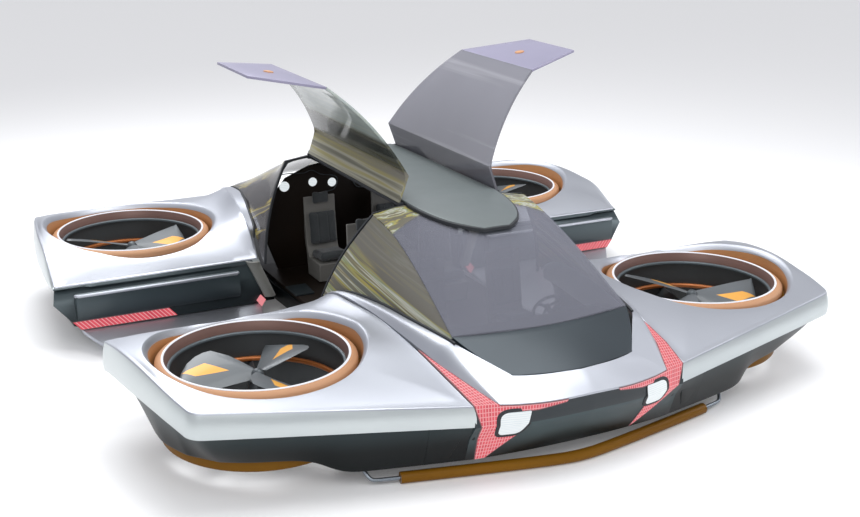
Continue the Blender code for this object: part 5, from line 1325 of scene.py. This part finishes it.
cabinLights = {
    "plane": 4.288, "spots": [(0.930, 0.610, 0.072), (0.500, 0.630, 0.062), (0.204, 0.595, 0.062)],  # x, z, radius
    "thick": 0.008, "dome": 0.006,
    "line": [(1.05, 0.79), (0.856, 0.79), (0.644, 0.775), (0.51, 0.805), (0.371, 0.73), (0.174, 0.69), (0.118, 0.61),
             (0.174, 0.495), (0.295, 0.465)],
    "lineHalf": 0.007, "parts": 5,
}


def makeCabinLights(side, sign):
    for k, (x, z, radius) in enumerate(cabinLights["spots"]):
        place(disc("cabin_light_%d_%s" % (k, side), (sign * x, cabinLights["plane"], z), (0, -1, 0), radius,
                   cabinLights["thick"], "lampLens", cabinLights["dome"]), "root", slotName="lamp")
    path = [(sign * x, cabinLights["plane"], z) for x, z in through(cabinLights["line"], cabinLights["parts"])]
    place(tube("cabin_line_" + side, path, cabinLights["lineHalf"], "stator"), "root", slotName="trim")


rearFace = {
    # The bar is a silver rod along the housing's top edge that stands in for the highlight on its rounded edge: a
    # painted highlight
    "bar": {"from": 1.93, "to": 4.10, "y": 3.452, "z": -0.278, "half": 0.020, "columns": 16,
            "end": [(0.0, 0.06, -0.01), (0.004, 0.015, 0.0), (0.03, 0.0, 0.0)]},  # inwards, back, up
    "strip": {"edges": [[(4.160, 3.508, -0.628), (4.050, 3.484, -0.745)],
                        [(2.897, 3.508, -0.628), (2.788, 3.484, -0.745)]],
              "parts": 12, "columns": 6, "spacing": 0.55, "level": 0.037, "thick": 0.02},
    "lozenge": {"corners": [(1.619, -0.640), (1.564, -0.705), (1.625, -0.795), (1.679, -0.715)], "y": 3.44,
                "thick": 0.06},
}


def makeRearFace(side, sign):
    bar, shape, lozenge = rearFace["bar"], rearFace["strip"], rearFace["lozenge"]
    # A silver rod along the housing's top: a painted highlight
    path = [(bar["from"] + x, bar["y"] + y, bar["z"] + z) for x, y, z in bar["end"]]
    path += [(bar["to"] - x, bar["y"] + y, bar["z"] + z) for x, y, z in reversed(bar["end"])]
    place(tube("rear_bar_" + side, toSide(sign, path), bar["half"], "silver", bar["columns"]), "root", slotName="hull")
    grid, places = ribbon(shape["edges"], shape["parts"], shape["columns"])
    # The lattice shows only its upright bars here
    start, level = strip["latticeFrom"], strip["latticeFrom"] + shape["level"]
    places = [(start + shape["spacing"] * along, level, edge) for across, along, edge in places]
    points, faces = sheet([toSide(sign, row) for row in grid], (0, shape["thick"], 0))
    place(meshPiece("rear_strip_" + side, points, faces, ["lattice"], attribute=("stripPlace", places + places)),
          "root", slotName="red_light")
    front = [(sign * x, lozenge["y"], z) for x, z in lozenge["corners"]]
    back = [(x, y + lozenge["thick"], z) for x, y, z in front]
    place(plate("lozenge_" + side, front, back, "lozengeLight"), "root", slotName="red_light")


doorPost = {
    "edges": [[(1.800, 3.500, -0.150), (1.620, 3.480, -0.170)], [(1.580, 3.420, -0.660), (1.430, 3.400, -0.650)]],
    "parts": 6, "columns": 4, "bow": 0.03, "thick": 0.05, "bevel": 0.004,
}
doorButton = {"spot": (1.753, 2.483, 2.567), "reach": 0.1, "radius": 0.062, "proud": 0.012, "dome": 0.006}


def makeDoorFittings(side, sign):
    columns = doorPost["columns"]
    grid = [toSide(sign, [(x, y - doorPost["bow"] * math.sin(math.pi * c / columns), z)
                          for c, (x, y, z) in enumerate(row)])
            for row in ribbon(doorPost["edges"], doorPost["parts"], columns)[0]]
    post = meshPiece("door_post_" + side, *sheet(grid, (0, doorPost["thick"], 0)), ["post"])
    place(bevelled(post, doorPost["bevel"]), "root", slotName="hull")
    surface = surfaceTree("door_lower_" + side)
    x, y, z = doorButton["spot"]
    for k, away in enumerate((1, -1)):  # one on each face of the panel
        spot, normal = surface.find_nearest(Vector((sign * x, y, z + doorButton["reach"] * away)))[:2]
        place(disc("door_button_%d_%s" % (k, side), spot, normal, doorButton["radius"], doorButton["proud"], "orange",
                   doorButton["dome"]), "door_" + side, slotName="orange")


for side, sign in sides:
    makeSills(side, sign)
    makeCabinLights(side, sign)
    makeRearFace(side, sign)
    makeDoorFittings(side, sign)
print("fittings made")


# Stage: floor, sky, lights and camera, with places given from ringMiddle

stage = {
    "floor": 400.0, "floorTone": (0.88, 0.88, 0.89), "floorLift": 0.10, "floorRoughness": 0.75,
    "sky": [(0.0, (0.60, 0.61, 0.65, 1)), (0.30, (0.64, 0.65, 0.71, 1)), (0.62, (0.86, 0.87, 0.90, 1)),
            (1.0, (1, 1, 1, 1))],  # from the lowest direction to straight up
    "skyStrength": 0.80,
    "eye": (-7.06587, -12.07750, 5.17436), "target": (-1.44725, -0.58396, 1.03577),
    "lens": 53.37, "sensor": 36.0, "shift": 0.031, "farthest": 500.0,
    "lit": (0, 2, 0),  # where the lights point
    "lights": [  # name, place, size, power, colour
        ("key", (-7.0, -9.0, 9.0), 10.0, 600, (1.0, 1.0, 0.99)),
        ("top", (1.8, -0.5, 10.5), 8.0, 750, (0.98, 0.99, 1.0)),
        ("back", (-2.0, 10.0, 10.0), 9.0, 1250, (0.98, 0.99, 1.0)),
        ("side", (11.0, -2.0, 5.0), 5.0, 300, (0.98, 0.98, 1.0))],
}


def makeFloor():
    half = stage["floor"] / 2
    mesh = bpy.data.meshes.new("floor")
    mesh.from_pydata([(-half, -half, 0), (half, -half, 0), (half, half, 0), (-half, half, 0)], [], [(0, 1, 2, 3)])
    floor = newObject("floor", mesh)
    material, tree, shader = startMaterial("floorPaper", {"Roughness": stage["floorRoughness"]})
    shader.inputs["Base Color"].default_value = (*stage["floorTone"], 1)
    shader.inputs["Emission Color"].default_value = (1, 1, 1, 1)
    shader.inputs["Emission Strength"].default_value = stage["floorLift"]
    mesh.materials.append(material)


def makeSky():
    world = bpy.data.worlds.new("studio")
    bpy.context.scene.world = world
    world.use_nodes = True
    tree = world.node_tree
    tree.nodes.clear()
    height = addNode(tree, "SeparateXYZ", {0: addNode(tree, "TexCoord").outputs["Generated"]})
    colours = addLadder(tree, height.outputs["Z"], stage["sky"])
    sky = addNode(tree, "Background", {"Color": colours["Color"], "Strength": stage["skyStrength"]})
    link(tree, [(sky.outputs[0], addNode(tree, "OutputWorld").inputs["Surface"])])


def aim(thing, target):
    thing.rotation_euler = (Vector(target) - thing.location).to_track_quat("-Z", "Y").to_euler()


def makeLights():
    for name, spot, size, power, colour in stage["lights"]:
        light = bpy.data.lights.new(name, "AREA")
        light.shape = "DISK"
        light.size = size
        light.energy = power
        light.color = colour
        holder = newObject(name, light)
        holder.location = Vector(spot) + ringMiddle
        aim(holder, ringMiddle + Vector(stage["lit"]))


def makeCamera():
    camera = bpy.data.cameras.new("photoView")
    camera.lens = stage["lens"]
    camera.sensor_width = stage["sensor"]
    camera.shift_x = stage["shift"]
    camera.clip_end = stage["farthest"]
    holder = newObject("photoView", camera)
    holder.location = Vector(stage["eye"]) + ringMiddle
    aim(holder, Vector(stage["target"]) + ringMiddle)
    bpy.context.scene.camera = holder
    bpy.context.scene.view_settings.view_transform = "Standard"


makeFloor()
makeSky()
makeLights()
makeCamera()
print("stage made")
